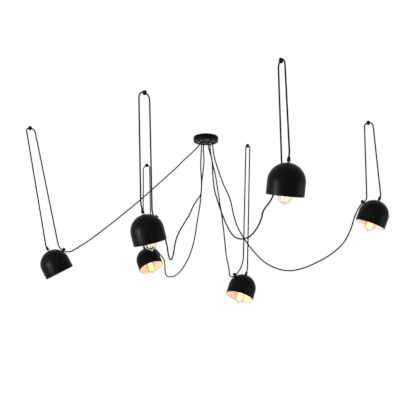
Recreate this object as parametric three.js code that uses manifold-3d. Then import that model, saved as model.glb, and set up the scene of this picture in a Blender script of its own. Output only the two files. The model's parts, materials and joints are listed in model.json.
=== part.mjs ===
// Six-lamp swag chandelier, in millimetres, +Z up.
// The origin is the centre of the ceiling bracket's top face, and the ceiling is the plane Z = 0.
// Six cords leave one canopy. Each hangs slack, runs through a clamp on its shade's shoulder,
// goes up over a ceiling hook of its own and comes back down to the grip at the shade's apex.

import * as THREE from "three";
import { mergeVertices } from "three/addons/utils/BufferGeometryUtils.js";
import Module from "manifold-3d";

const wasm = await Module();
wasm.setup();

// Fits
const FIT_GAP = 0.3;
const CUT_OVERRUN = 2;

// Cord
const CORD_DIAMETER = 7.5;
const CORD_BORE_CLEARANCE = 0.5;
const CORD_BEND_RADIUS = 15;
const ARCH_CROWN_FLAT = 2;
const CORD_SIDES = 8;
const CORD_LONGEST_STEP = 45;
const CORD_SAMPLE = 3;
const CORD_STEP_TURN = 15;
const CORD_LEAD = 3;
const BEND_CORNER_TRIES = 6;

// Where the lamps hang
const FURTHEST_REACH = 1144;
const LOWEST_DROP = 808;

// Canopy
const CANOPY_DIAMETER = 150;
const CANOPY_HEIGHT = 30;
const CANOPY_WALL = 1.2;
const CANOPY_EDGE = 5;
const CANOPY_SIDES = 28;
const CEILING_GAP = 0.5;
const OUTLET_COUNT = 6;
const OUTLET_FIRST_ANGLE = -10;
const OUTLET_RING_DIAMETER = 80;
const OUTLET_NUT_DIAMETER = 13;
const OUTLET_NUT_HEIGHT = 2.5;
const OUTLET_GRIP_DIAMETER = 10.5;
const OUTLET_GRIP_TIP_DIAMETER = 9.5;
const OUTLET_GRIP_HEIGHT = 6;
const OUTLET_SIDES = 8;

// Ceiling bracket, its terminal block and the cover's two screws
const STRAP_WIDTH = 18;
const STRAP_THICKNESS = 2;
const EAR_HEIGHT = 14;
const EAR_CLEARANCE = 0.6;
const FIXING_SPACING = 80;
const FIXING_HOLE_DIAMETER = 5;
const COVER_SCREW_DEPTH = 8;
const COVER_SCREW_DIAMETER = 4;
const COVER_SCREW_CLEARANCE = 0.6;
const COVER_SCREW_TAIL = 3;
const COVER_SCREW_HEAD_DIAMETER = 8;
const COVER_SCREW_HEAD_HEIGHT = 2.4;
const COVER_SCREW_SIDES = 8;
const TERMINAL_WAYS = 6;
const TERMINAL_PITCH = 9;
const TERMINAL_HEIGHT = 16;
const TERMINAL_DEPTH = 20;
const TERMINAL_NOTCH_WIDTH = 1.6;
const TERMINAL_NOTCH_DEPTH = 5;
const TERMINAL_HOLE_DIAMETER = 3.6;

// Ceiling hook
const HOOK_DIAMETER = 20;
const HOOK_HEIGHT = 22;
const HOOK_BASE = 2.8;
const HOOK_NOSE = 6;
const HOOK_NOSE_SHARE = 0.3;
const HOOK_CROWN_DEPTH = 9;
const HOOK_CHANNEL_CLEARANCE = 1.2;
const HOOK_LIP = 2;
const HOOK_SIDES = 14;
const SADDLE_SIDES = 36;

// Shade
const SHADE_DIAMETER = 164;
const SHADE_HEIGHT = 140;
const SHADE_WALL = 1.2;
const SHADE_SIDES = 20;
const SHADE_ARC_STEPS = 6;

// Cord grip at the apex, on its nut
const GRIP_HEIGHT = 22;
const GRIP_DIAMETER = 16;
const GRIP_TIP_DIAMETER = 10.5;
const GRIP_NUT_DIAMETER = 12;
const GRIP_NUT_HEIGHT = 3.7;
const GRIP_SOCKET_DEPTH = 6;
const GRIP_SIDES = 10;

// Lampholder
const NECK_DIAMETER = 10;
const HOLDER_DIAMETER = 38;
const HOLDER_LENGTH = 60;
const HOLDER_SHOULDER = 12;
const HOLDER_COLLAR_DIAMETER = 24;
const SOCKET_DEPTH = 21.5;
const SOCKET_CLEARANCE = 0.8;
const HOLDER_SIDES = 12;

// Bulbs: a long teardrop, and a short round one
const BULB_DIAMETER = 64;
const BULB_GLASS_LENGTH = 115;
const ROUND_BULB_DIAMETER = 40;
const ROUND_BULB_GLASS_LENGTH = 48;
const BULB_CAP_DIAMETER = 26.6;
const BULB_CAP_LENGTH = 27;
const BULB_CAP_TIP_DIAMETER = 10;
const BULB_CAP_TAPER = 5;
const BULB_SIDES = 12;

// Cord clamp and its knob, on the shade's shoulder
const CLAMP_POLAR_ANGLE = 58;
const CLAMP_CORD_HEIGHT = 8;
const CLAMP_POST_DIAMETER = 14;
const CLAMP_POST_HEIGHT = 14;
const CLAMP_BASE_DIAMETER = 17;
const CLAMP_BASE_THICKNESS = 2.2;
const CLAMP_STUD_DIAMETER = 4;
const CLAMP_STUD_CLEARANCE = 0.8;
const CLAMP_NUT_DIAMETER = 9;
const CLAMP_NUT_THICKNESS = 3;
const CLAMP_NUT_STAND_OFF = 1.4;
const CLAMP_SCREW_DIAMETER = 5;
const CLAMP_SCREW_CLEARANCE = 1;
const CLAMP_SIDES = 12;
const KNOB_DIAMETER = 19;
const KNOB_HEIGHT = 8;
const KNOB_EDGE = 1.2;
const KNOB_CROWN = 2.4;

// A bulb's glass outline from its tip to its neck, as shares of its radius and of its length.
const BULB_OUTLINE_SHARES = [
  [0.08, 0.01],
  [0.12, 0.05],
  [0.55, 0.11],
  [0.87, 0.21],
  [1, 0.36],
  [0.93, 0.51],
  [0.72, 0.7],
  [0.46, 0.92],
];
const ROUND_BULB_OUTLINE_SHARES = [
  [0.35, 0.02],
  [0.78, 0.16],
  [1, 0.44],
  [0.86, 0.72],
  [0.58, 0.95],
];

// The lampholder's shoulder and the grip's bell, from the foot of the curve to its top, as shares.
const SHOULDER_OUTLINE_SHARES = [
  [1, 0],
  [0.85, 0.5],
  [0, 1],
];
const BELL_OUTLINE_SHARES = [
  [0.6, 0],
  [1, 0.14],
  [0.85, 0.45],
  [0.35, 0.8],
  [0, 0.97],
];

// Each lamp: the bearing of its hook from the canopy, in degrees from +X, and its reach as a share
// of the furthest one; the way the shade's opening faces, and its tilt, in degrees; how far the
// grip's top hangs towards that way from below the hook, and below the ceiling, as shares of the
// lowest drop; its outlet; the two halves of its loop's arch and the bends above its fittings, as
// shares of the cord's least bend radius; and its slack cord's route, as distance along the straight
// line in plan from the outlet to the clamp, height, and distance to the left of that line if any.
const LAMPS = [
  {
    bearing: 190.7,
    reachShare: 0.909,
    facing: 25,
    tilt: 30,
    asideShare: 0.162,
    dropShare: 0.864,
    outlet: 3,
    roundBulb: true,
    gripArchShare: 1.15,
    clampArchShare: 2.1,
    gripBendShare: 2,
    clampBendShare: 3,
    route: [
      [3, -52],
      [20, -71],
      [48, -102],
      [88, -141],
      [139, -196],
      [213, -269],
      [290, -344],
      [365, -415],
      [437, -480],
      [508, -542],
      [566, -591],
      [620, -635],
      [661, -666],
      [699, -692],
      [718.5, -705, -1],
      [738, -716, -2],
      [752, -720, -2.5],
      [765, -720, -2],
    ],
  },
  {
    bearing: 247.3,
    reachShare: 0.688,
    facing: 50,
    tilt: 21,
    asideShare: 0,
    dropShare: 0.75,
    outlet: 4,
    gripArchShare: 2.5,
    clampArchShare: 2.35,
    gripBendShare: 10,
    clampBendShare: 3,
    route: [
      [3, -74],
      [9, -126],
      [14, -185],
      [10, -232],
      [2, -270],
      [0, -305],
      [3, -342],
      [15, -371],
      [43, -395],
      [82, -422],
      [127, -456],
      [168, -496],
      [209, -537],
      [256, -574],
      [303, -611],
      [358, -658],
      [392, -697],
      [415, -740],
      [430, -782],
      [446, -806],
      [467, -816],
      [487, -808],
      [502, -785],
      [514, -757],
      [532, -731],
      [558, -705, 1],
      [588, -682, 2],
      [618, -664, 3],
      [634, -655, 3.5],
      [646, -647, 2.5],
    ],
  },
  {
    bearing: 125.3,
    reachShare: 0.63,
    facing: -36,
    tilt: 26,
    asideShare: -0.015,
    dropShare: 0.7215,
    outlet: 2,
    gripArchShare: 2,
    clampArchShare: 1.8,
    gripBendShare: 3,
    clampBendShare: 3,
    route: [
      [3, -75],
      [-4, -122],
      [-1, -165],
      [7, -209],
      [18, -255],
      [24, -300],
      [30, -350],
      [39, -405],
      [57, -462],
      [79, -535],
      [100, -605],
      [133, -672],
      [190, -740],
      [262, -790],
      [330, -814],
      [391, -815],
      [428, -807],
      [450, -787],
      [458, -757],
      [460, -727],
      [471, -699],
      [493, -679, -1],
      [522, -660, -2.5],
      [550, -641, -4],
      [572, -625, -4],
      [586, -615, -2.5],
    ],
  },
  {
    bearing: 287.1,
    reachShare: 1,
    facing: 108,
    tilt: 17.5,
    asideShare: -0.07,
    dropShare: 0.5804,
    outlet: 5,
    gripArchShare: 2.7,
    clampArchShare: 1.75,
    gripBendShare: 5,
    clampBendShare: 1.5,
    route: [
      [6, -72],
      [32, -113],
      [60, -150],
      [80, -190],
      [88, -230],
      [93, -275],
      [106, -317],
      [122, -362],
      [150, -407],
      [193, -460],
      [250, -525],
      [312, -588],
      [374, -643],
      [450, -692],
      [530, -719],
      [605, -731],
      [685, -733],
      [755, -719],
      [808, -697],
      [843, -671],
      [863, -646],
      [897, -632],
      [940, -620],
      [983.5, -599],
      [1012, -572],
      [1030.7, -546],
      [1046.5, -526],
    ],
  },
  {
    bearing: 28,
    reachShare: 0.262,
    facing: -143,
    tilt: 21,
    asideShare: 0.027,
    dropShare: 1,
    outlet: 1,
    gripArchShare: 1,
    clampArchShare: 1,
    gripBendShare: 5,
    clampBendShare: 10,
    route: [
      [1, -66],
      [5, -97],
      [11, -130],
      [18, -168],
      [30, -215],
      [39, -260],
      [46, -310],
      [55, -362],
      [61, -408],
      [70, -460],
      [77, -515],
      [83, -560],
      [89, -620],
      [95, -680],
      [100, -725],
      [108, -765, -0.8],
      [115, -800, -1.8],
      [117.5, -830, -2.3],
      [120.2, -839, -2.3],
      [127.2, -845.3, -2.3],
      [136.6, -846.8, -2.1],
    ],
  },
  {
    bearing: 342.9,
    reachShare: 0.844,
    facing: 160,
    tilt: 22.5,
    asideShare: -0.052,
    dropShare: 0.548,
    outlet: 0,
    gripArchShare: 1.65,
    clampArchShare: 1.4,
    gripBendShare: 1.2,
    clampBendShare: 2,
    route: [
      [3, -66],
      [7, -100],
      [15, -140],
      [27, -183],
      [46, -241],
      [68, -303],
      [92, -356],
      [108, -395],
      [118, -435],
      [129, -490],
      [152, -565],
      [192, -639],
      [245, -713],
      [314, -783],
      [383, -820],
      [448, -834],
      [520, -825],
      [604, -794],
      [690, -748],
      [757, -690],
      [798, -620],
      [818, -564],
      [827, -541],
      [838, -518],
      [849, -499],
      [858, -485, 0.5],
    ],
  },
];

// Sizes that follow from the ones above
const CORD_RADIUS = CORD_DIAMETER / 2;
const CANOPY_RADIUS = CANOPY_DIAMETER / 2;
const SHADE_RADIUS = SHADE_DIAMETER / 2;
const OUTLET_MOUTH_Z = -(CANOPY_HEIGHT + OUTLET_NUT_HEIGHT + OUTLET_GRIP_HEIGHT);
const GRIP_FOOT_Z = -(GRIP_HEIGHT + GRIP_NUT_HEIGHT);
const APEX_Z = GRIP_FOOT_Z - FIT_GAP;
const DOME_CENTRE_Z = APEX_Z - SHADE_RADIUS;
const RIM_Z = APEX_Z - SHADE_HEIGHT;
const HOLDER_TOP_Z = APEX_Z - SHADE_WALL - 2 * FIT_GAP;
const HOLDER_MOUTH_Z = HOLDER_TOP_Z - HOLDER_LENGTH;
const BULB_TOP_Z = HOLDER_MOUTH_Z + SOCKET_DEPTH - FIT_GAP;
const GRIP_NECK_TOP_Z = GRIP_FOOT_Z + GRIP_SOCKET_DEPTH;
const KNOB_FOOT_Z = CLAMP_POST_HEIGHT + FIT_GAP;
const EAR_FACE_X = Math.sqrt(
  (CANOPY_RADIUS - CANOPY_WALL - EAR_CLEARANCE) ** 2 - (STRAP_WIDTH / 2) ** 2,
);

const radians = THREE.MathUtils.degToRad;

// Finishes
function finish(color, roughness, metalness) {
  return new THREE.MeshStandardMaterial({ color, roughness, metalness });
}
const SATIN_BLACK = finish(0x1a1a1b, 0.5, 0.4);
const BLACK_PLASTIC = finish(0x161617, 0.55, 0);
const CORD_BLACK = finish(0x262627, 0.8, 0);
const ZINC = finish(0xb9bcc0, 0.4, 0.9);
const CLEAR_GLASS = finish(0xf2d9ae, 0.1, 0);
const WHITE_PLASTIC = finish(0xe9e8e2, 0.5, 0);

// A solid of revolution about Z. Its [radius, height] points run outwards below and inwards above.
function turned(profile, sides) {
  const points = profile.map(([radius, height]) => new THREE.Vector2(radius, height));
  return new THREE.LatheGeometry(points, sides).rotateX(Math.PI / 2);
}

// A round bar about Z, centred on the origin.
function bar(radius, length, sides) {
  return new THREE.CylinderGeometry(radius, radius, length, sides).rotateX(Math.PI / 2);
}

// Points of a curve between two levels, from a table of shares.
function curved(shares, footRadius, topRadius, footZ, topZ) {
  return shares.map(([radiusShare, heightShare]) => [
    topRadius + radiusShare * (footRadius - topRadius),
    footZ + heightShare * (topZ - footZ),
  ]);
}

function toSolid(geometry) {
  const bare = geometry.clone();
  bare.deleteAttribute("normal");
  bare.deleteAttribute("uv");
  const merged = mergeVertices(bare);
  return new wasm.Manifold(
    new wasm.Mesh({
      numProp: 3,
      vertProperties: merged.getAttribute("position").array,
      triVerts: new Uint32Array(merged.index.array),
    }),
  );
}

function toGeometry(solid) {
  const { vertProperties, triVerts } = solid.getMesh();
  const geometry = new THREE.BufferGeometry();
  geometry.setAttribute("position", new THREE.BufferAttribute(vertProperties, 3));
  geometry.setIndex(new THREE.BufferAttribute(triVerts, 1));
  geometry.computeVertexNormals();
  return geometry;
}

function piece(name, geometry, material) {
  const mesh = new THREE.Mesh(geometry, material);
  mesh.name = name;
  return mesh;
}

// Canopy

function outletPlace(index) {
  const angle = radians(OUTLET_FIRST_ANGLE + (index * 360) / OUTLET_COUNT);
  const radius = OUTLET_RING_DIAMETER / 2;
  return new THREE.Vector3(radius * Math.cos(angle), radius * Math.sin(angle), 0);
}

// One outlet's nut and cord grip, which stand on the cover's underside.
function outletGrip() {
  const gripFootZ = OUTLET_MOUTH_Z + OUTLET_GRIP_HEIGHT;
  const rootZ = -CANOPY_HEIGHT + CANOPY_WALL / 2;
  const profile = [
    [0, OUTLET_MOUTH_Z],
    [OUTLET_GRIP_TIP_DIAMETER / 2, OUTLET_MOUTH_Z],
    [OUTLET_GRIP_DIAMETER / 2, gripFootZ],
    [OUTLET_NUT_DIAMETER / 2, gripFootZ],
    [OUTLET_NUT_DIAMETER / 2, rootZ],
    [0, rootZ],
  ];
  return turned(profile, OUTLET_SIDES);
}

function coverScrewHole() {
  const radius = (COVER_SCREW_DIAMETER + COVER_SCREW_CLEARANCE) / 2;
  const length = CANOPY_DIAMETER + 2 * CUT_OVERRUN;
  return bar(radius, length, COVER_SCREW_SIDES)
    .rotateY(Math.PI / 2)
    .translate(0, 0, -COVER_SCREW_DEPTH);
}

function canopyCover() {
  const innerRadius = CANOPY_RADIUS - CANOPY_WALL;
  const edgeRadius = CANOPY_RADIUS - CANOPY_EDGE;
  const profile = [
    [0, -CANOPY_HEIGHT],
    [edgeRadius, -CANOPY_HEIGHT],
    [CANOPY_RADIUS, CANOPY_EDGE - CANOPY_HEIGHT],
    [CANOPY_RADIUS, -CEILING_GAP],
    [innerRadius, -CEILING_GAP],
    [innerRadius, CANOPY_EDGE - CANOPY_HEIGHT],
    [edgeRadius, CANOPY_WALL - CANOPY_HEIGHT],
    [0, CANOPY_WALL - CANOPY_HEIGHT],
  ];
  let cover = toSolid(turned(profile, CANOPY_SIDES));
  for (let index = 0; index < OUTLET_COUNT; index += 1) {
    const { x, y } = outletPlace(index);
    cover = cover.add(toSolid(outletGrip().translate(x, y, 0)));
  }
  return toGeometry(cover.subtract(toSolid(coverScrewHole())));
}

// A flat strap under the ceiling, with an ear turned down at each end.
function ceilingBracket() {
  const innerX = EAR_FACE_X - STRAP_THICKNESS;
  const outline = new THREE.Shape();
  outline.moveTo(-EAR_FACE_X, -EAR_HEIGHT);
  outline.lineTo(-innerX, -EAR_HEIGHT);
  outline.lineTo(-innerX, -STRAP_THICKNESS);
  outline.lineTo(innerX, -STRAP_THICKNESS);
  outline.lineTo(innerX, -EAR_HEIGHT);
  outline.lineTo(EAR_FACE_X, -EAR_HEIGHT);
  outline.lineTo(EAR_FACE_X, 0);
  outline.lineTo(-EAR_FACE_X, 0);
  outline.closePath();
  const strap = new THREE.ExtrudeGeometry(outline, { depth: STRAP_WIDTH, bevelEnabled: false })
    .rotateX(Math.PI / 2)
    .translate(0, STRAP_WIDTH / 2, 0);
  let bracket = toSolid(strap).subtract(toSolid(coverScrewHole()));
  for (const side of [-1, 1]) {
    const hole = bar(FIXING_HOLE_DIAMETER / 2, STRAP_THICKNESS + 2 * CUT_OVERRUN, COVER_SCREW_SIDES)
      .translate((side * FIXING_SPACING) / 2, 0, -STRAP_THICKNESS / 2);
    bracket = bracket.subtract(toSolid(hole));
  }
  return toGeometry(bracket);
}

function terminalBlock() {
  const halfWidth = (TERMINAL_WAYS * TERMINAL_PITCH) / 2;
  const top = -STRAP_THICKNESS - FIT_GAP;
  const bottom = top - TERMINAL_HEIGHT;
  const outline = new THREE.Shape();
  outline.moveTo(halfWidth, top);
  outline.lineTo(-halfWidth, top);
  outline.lineTo(-halfWidth, bottom);
  for (let way = 1; way < TERMINAL_WAYS; way += 1) {
    const x = way * TERMINAL_PITCH - halfWidth;
    outline.lineTo(x - TERMINAL_NOTCH_WIDTH / 2, bottom);
    outline.lineTo(x - TERMINAL_NOTCH_WIDTH / 2, bottom + TERMINAL_NOTCH_DEPTH);
    outline.lineTo(x + TERMINAL_NOTCH_WIDTH / 2, bottom + TERMINAL_NOTCH_DEPTH);
    outline.lineTo(x + TERMINAL_NOTCH_WIDTH / 2, bottom);
  }
  outline.lineTo(halfWidth, bottom);
  outline.closePath();
  for (let way = 0; way < TERMINAL_WAYS; way += 1) {
    const x = (way + 1 / 2) * TERMINAL_PITCH - halfWidth;
    const hole = new THREE.Path();
    hole.absarc(x, (top + bottom) / 2, TERMINAL_HOLE_DIAMETER / 2, 0, 2 * Math.PI);
    outline.holes.push(hole);
  }
  const settings = { depth: TERMINAL_DEPTH, bevelEnabled: false, curveSegments: 2 };
  return new THREE.ExtrudeGeometry(outline, settings)
    .rotateX(Math.PI / 2)
    .translate(0, TERMINAL_DEPTH / 2, 0);
}

// A pan-head screw through the cover's wall and the bracket's ear, on the +X side or the -X side.
function coverScrew(side) {
  const headZ = CANOPY_RADIUS + FIT_GAP;
  const tipZ = EAR_FACE_X - STRAP_THICKNESS - COVER_SCREW_TAIL;
  const headRadius = COVER_SCREW_HEAD_DIAMETER / 2;
  const profile = [
    [0, tipZ],
    [COVER_SCREW_DIAMETER / 2, tipZ],
    [COVER_SCREW_DIAMETER / 2, headZ],
    [headRadius, headZ],
    [headRadius, headZ + COVER_SCREW_HEAD_HEIGHT / 2],
    [headRadius / 2, headZ + COVER_SCREW_HEAD_HEIGHT],
    [0, headZ + COVER_SCREW_HEAD_HEIGHT],
  ];
  return turned(profile, COVER_SCREW_SIDES)
    .rotateY((side * Math.PI) / 2)
    .translate(0, 0, -COVER_SCREW_DEPTH);
}

// Ceiling hook, with its channel along X, open on the +Y side, over a saddle that the cord bends round

function ceilingHook() {
  const radius = HOOK_DIAMETER / 2;
  const crownZ = -HOOK_CROWN_DEPTH;
  const barrel = turned(
    [
      [0, -HOOK_HEIGHT],
      [radius - HOOK_NOSE, -HOOK_HEIGHT],
      [radius - HOOK_NOSE * HOOK_NOSE_SHARE, HOOK_NOSE * HOOK_NOSE_SHARE - HOOK_HEIGHT],
      [radius, HOOK_NOSE - HOOK_HEIGHT],
      [radius, -HOOK_BASE / 2],
      [radius - HOOK_BASE / 2, 0],
      [0, 0],
    ],
    HOOK_SIDES,
  );
  const halfWidth = CORD_RADIUS + HOOK_CHANNEL_CLEARANCE;
  const length = HOOK_DIAMETER + 2 * CUT_OVERRUN;
  const channelHeight = HOOK_HEIGHT - HOOK_BASE;
  const channel = new THREE.BoxGeometry(length, 2 * halfWidth, channelHeight)
    .translate(0, 0, -HOOK_BASE - channelHeight / 2);
  const saddleRadius = CORD_BEND_RADIUS - CORD_RADIUS - FIT_GAP;
  const saddle = new THREE.CylinderGeometry(saddleRadius, saddleRadius, HOOK_DIAMETER, SADDLE_SIDES)
    .translate(0, 0, crownZ - CORD_BEND_RADIUS);
  const lipZ = crownZ - CORD_RADIUS - FIT_GAP + HOOK_LIP;
  const mouthHeight = -HOOK_BASE - lipZ;
  const mouth = new THREE.BoxGeometry(length, HOOK_DIAMETER, mouthHeight)
    .translate(0, HOOK_DIAMETER / 2, lipZ + mouthHeight / 2);
  const hollow = toSolid(channel).subtract(toSolid(saddle)).add(toSolid(mouth));
  return toGeometry(toSolid(barrel).subtract(hollow));
}

// Lamp, with its origin at the top of the cord grip, +Z up its own axis and +X on the clamp's side

function domePoint(radius, angle) {
  return [radius * Math.sin(angle), DOME_CENTRE_Z + radius * Math.cos(angle)];
}

function shade() {
  const innerRadius = SHADE_RADIUS - SHADE_WALL;
  const holeRadius = NECK_DIAMETER / 2 + FIT_GAP;
  const outerStart = Math.asin(holeRadius / SHADE_RADIUS);
  const innerStart = Math.asin(holeRadius / innerRadius);
  const profile = [[SHADE_RADIUS, RIM_Z]];
  for (let step = SHADE_ARC_STEPS; step > 0; step -= 1) {
    profile.push(domePoint(SHADE_RADIUS, (step * Math.PI) / 2 / SHADE_ARC_STEPS));
  }
  profile.push(domePoint(SHADE_RADIUS, outerStart));
  profile.push(domePoint(innerRadius, innerStart));
  for (let step = 1; step <= SHADE_ARC_STEPS; step += 1) {
    profile.push(domePoint(innerRadius, (step * Math.PI) / 2 / SHADE_ARC_STEPS));
  }
  profile.push([innerRadius, RIM_Z]);
  profile.push([SHADE_RADIUS, RIM_Z]);
  const studHole = bar(
    (CLAMP_STUD_DIAMETER + CLAMP_STUD_CLEARANCE) / 2,
    2 * (SHADE_WALL + CUT_OVERRUN),
    CLAMP_SIDES / 2,
  ).applyMatrix4(clampMatrix());
  return toGeometry(toSolid(turned(profile, SHADE_SIDES)).subtract(toSolid(studHole)));
}

function lampholder() {
  const radius = HOLDER_DIAMETER / 2;
  const collarRadius = HOLDER_COLLAR_DIAMETER / 2;
  const neckRadius = NECK_DIAMETER / 2;
  const socketRadius = (BULB_CAP_DIAMETER + SOCKET_CLEARANCE) / 2;
  const socketTopZ = HOLDER_MOUTH_Z + SOCKET_DEPTH;
  const shoulderZ = HOLDER_TOP_Z - HOLDER_SHOULDER;
  const collarZ = HOLDER_TOP_Z - HOLDER_SHOULDER / 4;
  const neckTopZ = GRIP_NECK_TOP_Z - FIT_GAP;
  const profile = [
    [0, socketTopZ],
    [socketRadius, socketTopZ],
    [socketRadius, HOLDER_MOUTH_Z],
    [radius, HOLDER_MOUTH_Z],
    ...curved(SHOULDER_OUTLINE_SHARES, radius, collarRadius, shoulderZ, collarZ),
    [neckRadius, HOLDER_TOP_Z],
    [neckRadius, neckTopZ],
    [0, neckTopZ],
  ];
  return turned(profile, HOLDER_SIDES);
}

function cordGrip() {
  const socketRadius = NECK_DIAMETER / 2 + FIT_GAP;
  const nutRadius = GRIP_NUT_DIAMETER / 2;
  const bellFootZ = GRIP_FOOT_Z + GRIP_NUT_HEIGHT;
  const profile = [
    [0, GRIP_NECK_TOP_Z],
    [socketRadius, GRIP_NECK_TOP_Z],
    [socketRadius, GRIP_FOOT_Z],
    [nutRadius, GRIP_FOOT_Z],
    [nutRadius, bellFootZ],
    ...curved(BELL_OUTLINE_SHARES, GRIP_DIAMETER / 2, GRIP_TIP_DIAMETER / 2, bellFootZ, 0),
    [CORD_RADIUS, 0],
    [0, 0],
  ];
  return turned(profile, GRIP_SIDES);
}

function bulb(diameter, glassLength, outlineShares) {
  const capRadius = BULB_CAP_DIAMETER / 2;
  const tipRadius = BULB_CAP_TIP_DIAMETER / 2;
  const neckZ = BULB_TOP_Z - BULB_CAP_LENGTH;
  const glassTipZ = neckZ - glassLength;
  const profile = [
    [0, glassTipZ],
    ...curved(outlineShares, diameter / 2, 0, glassTipZ, neckZ),
    [capRadius, neckZ],
    [capRadius, BULB_TOP_Z - BULB_CAP_TAPER],
    [tipRadius, BULB_TOP_Z],
    [0, BULB_TOP_Z],
  ];
  return turned(profile, BULB_SIDES);
}

function longBulb() {
  return bulb(BULB_DIAMETER, BULB_GLASS_LENGTH, BULB_OUTLINE_SHARES);
}

function roundBulb() {
  return bulb(ROUND_BULB_DIAMETER, ROUND_BULB_GLASS_LENGTH, ROUND_BULB_OUTLINE_SHARES);
}

// Clamp, with its origin on the dome's outer face, +Z straight out of the dome and +X towards the rim

function clampMatrix() {
  const angle = radians(CLAMP_POLAR_ANGLE);
  const [x, z] = domePoint(SHADE_RADIUS, angle);
  return new THREE.Matrix4().makeRotationY(angle).setPosition(x, 0, z);
}

function cordClamp() {
  const studRadius = CLAMP_STUD_DIAMETER / 2;
  const nutRadius = CLAMP_NUT_DIAMETER / 2;
  const nutTopZ = -SHADE_WALL - CLAMP_NUT_STAND_OFF;
  const nutFootZ = nutTopZ - CLAMP_NUT_THICKNESS;
  const screwHoleRadius = (CLAMP_SCREW_DIAMETER + CLAMP_SCREW_CLEARANCE) / 2;
  const profile = [
    [0, nutFootZ],
    [nutRadius, nutFootZ],
    [nutRadius, nutTopZ],
    [studRadius, nutTopZ],
    [studRadius, FIT_GAP],
    [CLAMP_BASE_DIAMETER / 2, FIT_GAP],
    [CLAMP_BASE_DIAMETER / 2, CLAMP_BASE_THICKNESS],
    [CLAMP_POST_DIAMETER / 2, CLAMP_BASE_THICKNESS],
    [CLAMP_POST_DIAMETER / 2, CLAMP_POST_HEIGHT],
    [screwHoleRadius, CLAMP_POST_HEIGHT],
    [screwHoleRadius, CLAMP_CORD_HEIGHT],
    [0, CLAMP_CORD_HEIGHT],
  ];
  const boreRadius = (CORD_DIAMETER + CORD_BORE_CLEARANCE) / 2;
  const bore = bar(boreRadius, CLAMP_BASE_DIAMETER + 2 * CUT_OVERRUN, CLAMP_SIDES)
    .rotateY(Math.PI / 2)
    .translate(0, 0, CLAMP_CORD_HEIGHT);
  return toGeometry(toSolid(turned(profile, CLAMP_SIDES)).subtract(toSolid(bore)));
}

function clampKnob() {
  const radius = KNOB_DIAMETER / 2;
  const screwRadius = CLAMP_SCREW_DIAMETER / 2;
  const screwTipZ = CLAMP_CORD_HEIGHT + CORD_RADIUS + FIT_GAP;
  const topZ = KNOB_FOOT_Z + KNOB_HEIGHT;
  const profile = [
    [0, screwTipZ],
    [screwRadius, screwTipZ],
    [screwRadius, KNOB_FOOT_Z],
    [radius - KNOB_EDGE, KNOB_FOOT_Z],
    [radius, KNOB_FOOT_Z + KNOB_EDGE],
    [radius, topZ - KNOB_CROWN],
    [radius - KNOB_CROWN, topZ],
    [0, topZ],
  ];
  return turned(profile, CLAMP_SIDES);
}

// Cords

// A curve whose rings stand where they are wanted: close together in a bend, far apart on a straight.
class StationCurve extends THREE.Curve {
  constructor(points, tangents) {
    super();
    this.points = points;
    this.tangents = tangents;
  }

  getPointAt(share) {
    return this.points[Math.round(share * (this.points.length - 1))].clone();
  }

  getTangentAt(share) {
    return this.tangents[Math.round(share * (this.points.length - 1))].clone();
  }
}

function tube(curve) {
  const section = new THREE.Shape();
  for (let side = 0; side < CORD_SIDES; side += 1) {
    const angle = (side * 2 * Math.PI) / CORD_SIDES;
    const x = CORD_RADIUS * Math.cos(angle);
    const y = CORD_RADIUS * Math.sin(angle);
    if (side === 0) section.moveTo(x, y);
    else section.lineTo(x, y);
  }
  section.closePath();
  return new THREE.ExtrudeGeometry(section, { steps: curve.points.length - 1, extrudePath: curve });
}

// A ring wherever a smooth route has turned enough, or gone far enough, since the last one.
function ringed(route) {
  const samples = Math.ceil(route.getLength() / CORD_SAMPLE);
  const points = [route.getPointAt(0)];
  const tangents = [route.getTangentAt(0)];
  for (let sample = 1; sample < samples; sample += 1) {
    const point = route.getPointAt(sample / samples);
    const tangent = route.getTangentAt(sample / samples);
    const turn = tangent.angleTo(tangents[tangents.length - 1]);
    const gone = point.distanceTo(points[points.length - 1]);
    if (turn > radians(CORD_STEP_TURN) || gone > CORD_LONGEST_STEP) {
      points.push(point);
      tangents.push(tangent);
    }
  }
  points.push(route.getPointAt(1));
  tangents.push(route.getTangentAt(1));
  return new StationCurve(points, tangents);
}

// Straight runs from corner to corner, with each corner between the ends rounded to its own radius.
function roundedRun(corners, radii) {
  const points = [corners[0]];
  const tangents = [corners[1].clone().sub(corners[0]).normalize()];
  for (let index = 1; index < corners.length - 1; index += 1) {
    const corner = corners[index];
    const radius = radii[index - 1];
    const before = corner.clone().sub(corners[index - 1]).normalize();
    const after = corners[index + 1].clone().sub(corner).normalize();
    const turn = before.angleTo(after);
    const setBack = radius * Math.tan(turn / 2);
    const start = corner.clone().addScaledVector(before, -setBack);
    const axis = before.clone().cross(after).normalize();
    const centre = start.clone().addScaledVector(axis.clone().cross(before), radius);
    const steps = Math.ceil(turn / radians(CORD_STEP_TURN));
    for (let step = 0; step <= steps; step += 1) {
      const angle = (turn * step) / steps;
      points.push(start.clone().sub(centre).applyAxisAngle(axis, angle).add(centre));
      tangents.push(before.clone().applyAxisAngle(axis, angle));
    }
  }
  points.push(corners[corners.length - 1]);
  tangents.push(tangents[tangents.length - 1].clone());
  return new StationCurve(points, tangents);
}

// Where the line up from a point, just touching one half of the arch, meets the arch's crown level.
// All three places are in the hook's own frame, and side is 1 for the clamp's half, -1 for the grip's.
function archCorner(from, side, radius) {
  const centre = new THREE.Vector3((side * ARCH_CROWN_FLAT) / 2, 0, -HOOK_CROWN_DEPTH - radius);
  const toCentre = centre.clone().sub(from);
  const lean = Math.atan2(toCentre.x, toCentre.z);
  const aside = Math.asin(radius / toCentre.length());
  const rise = -HOOK_CROWN_DEPTH - from.z;
  return new THREE.Vector3(from.x + rise * Math.tan(lean + side * aside), 0, -HOOK_CROWN_DEPTH);
}

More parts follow.
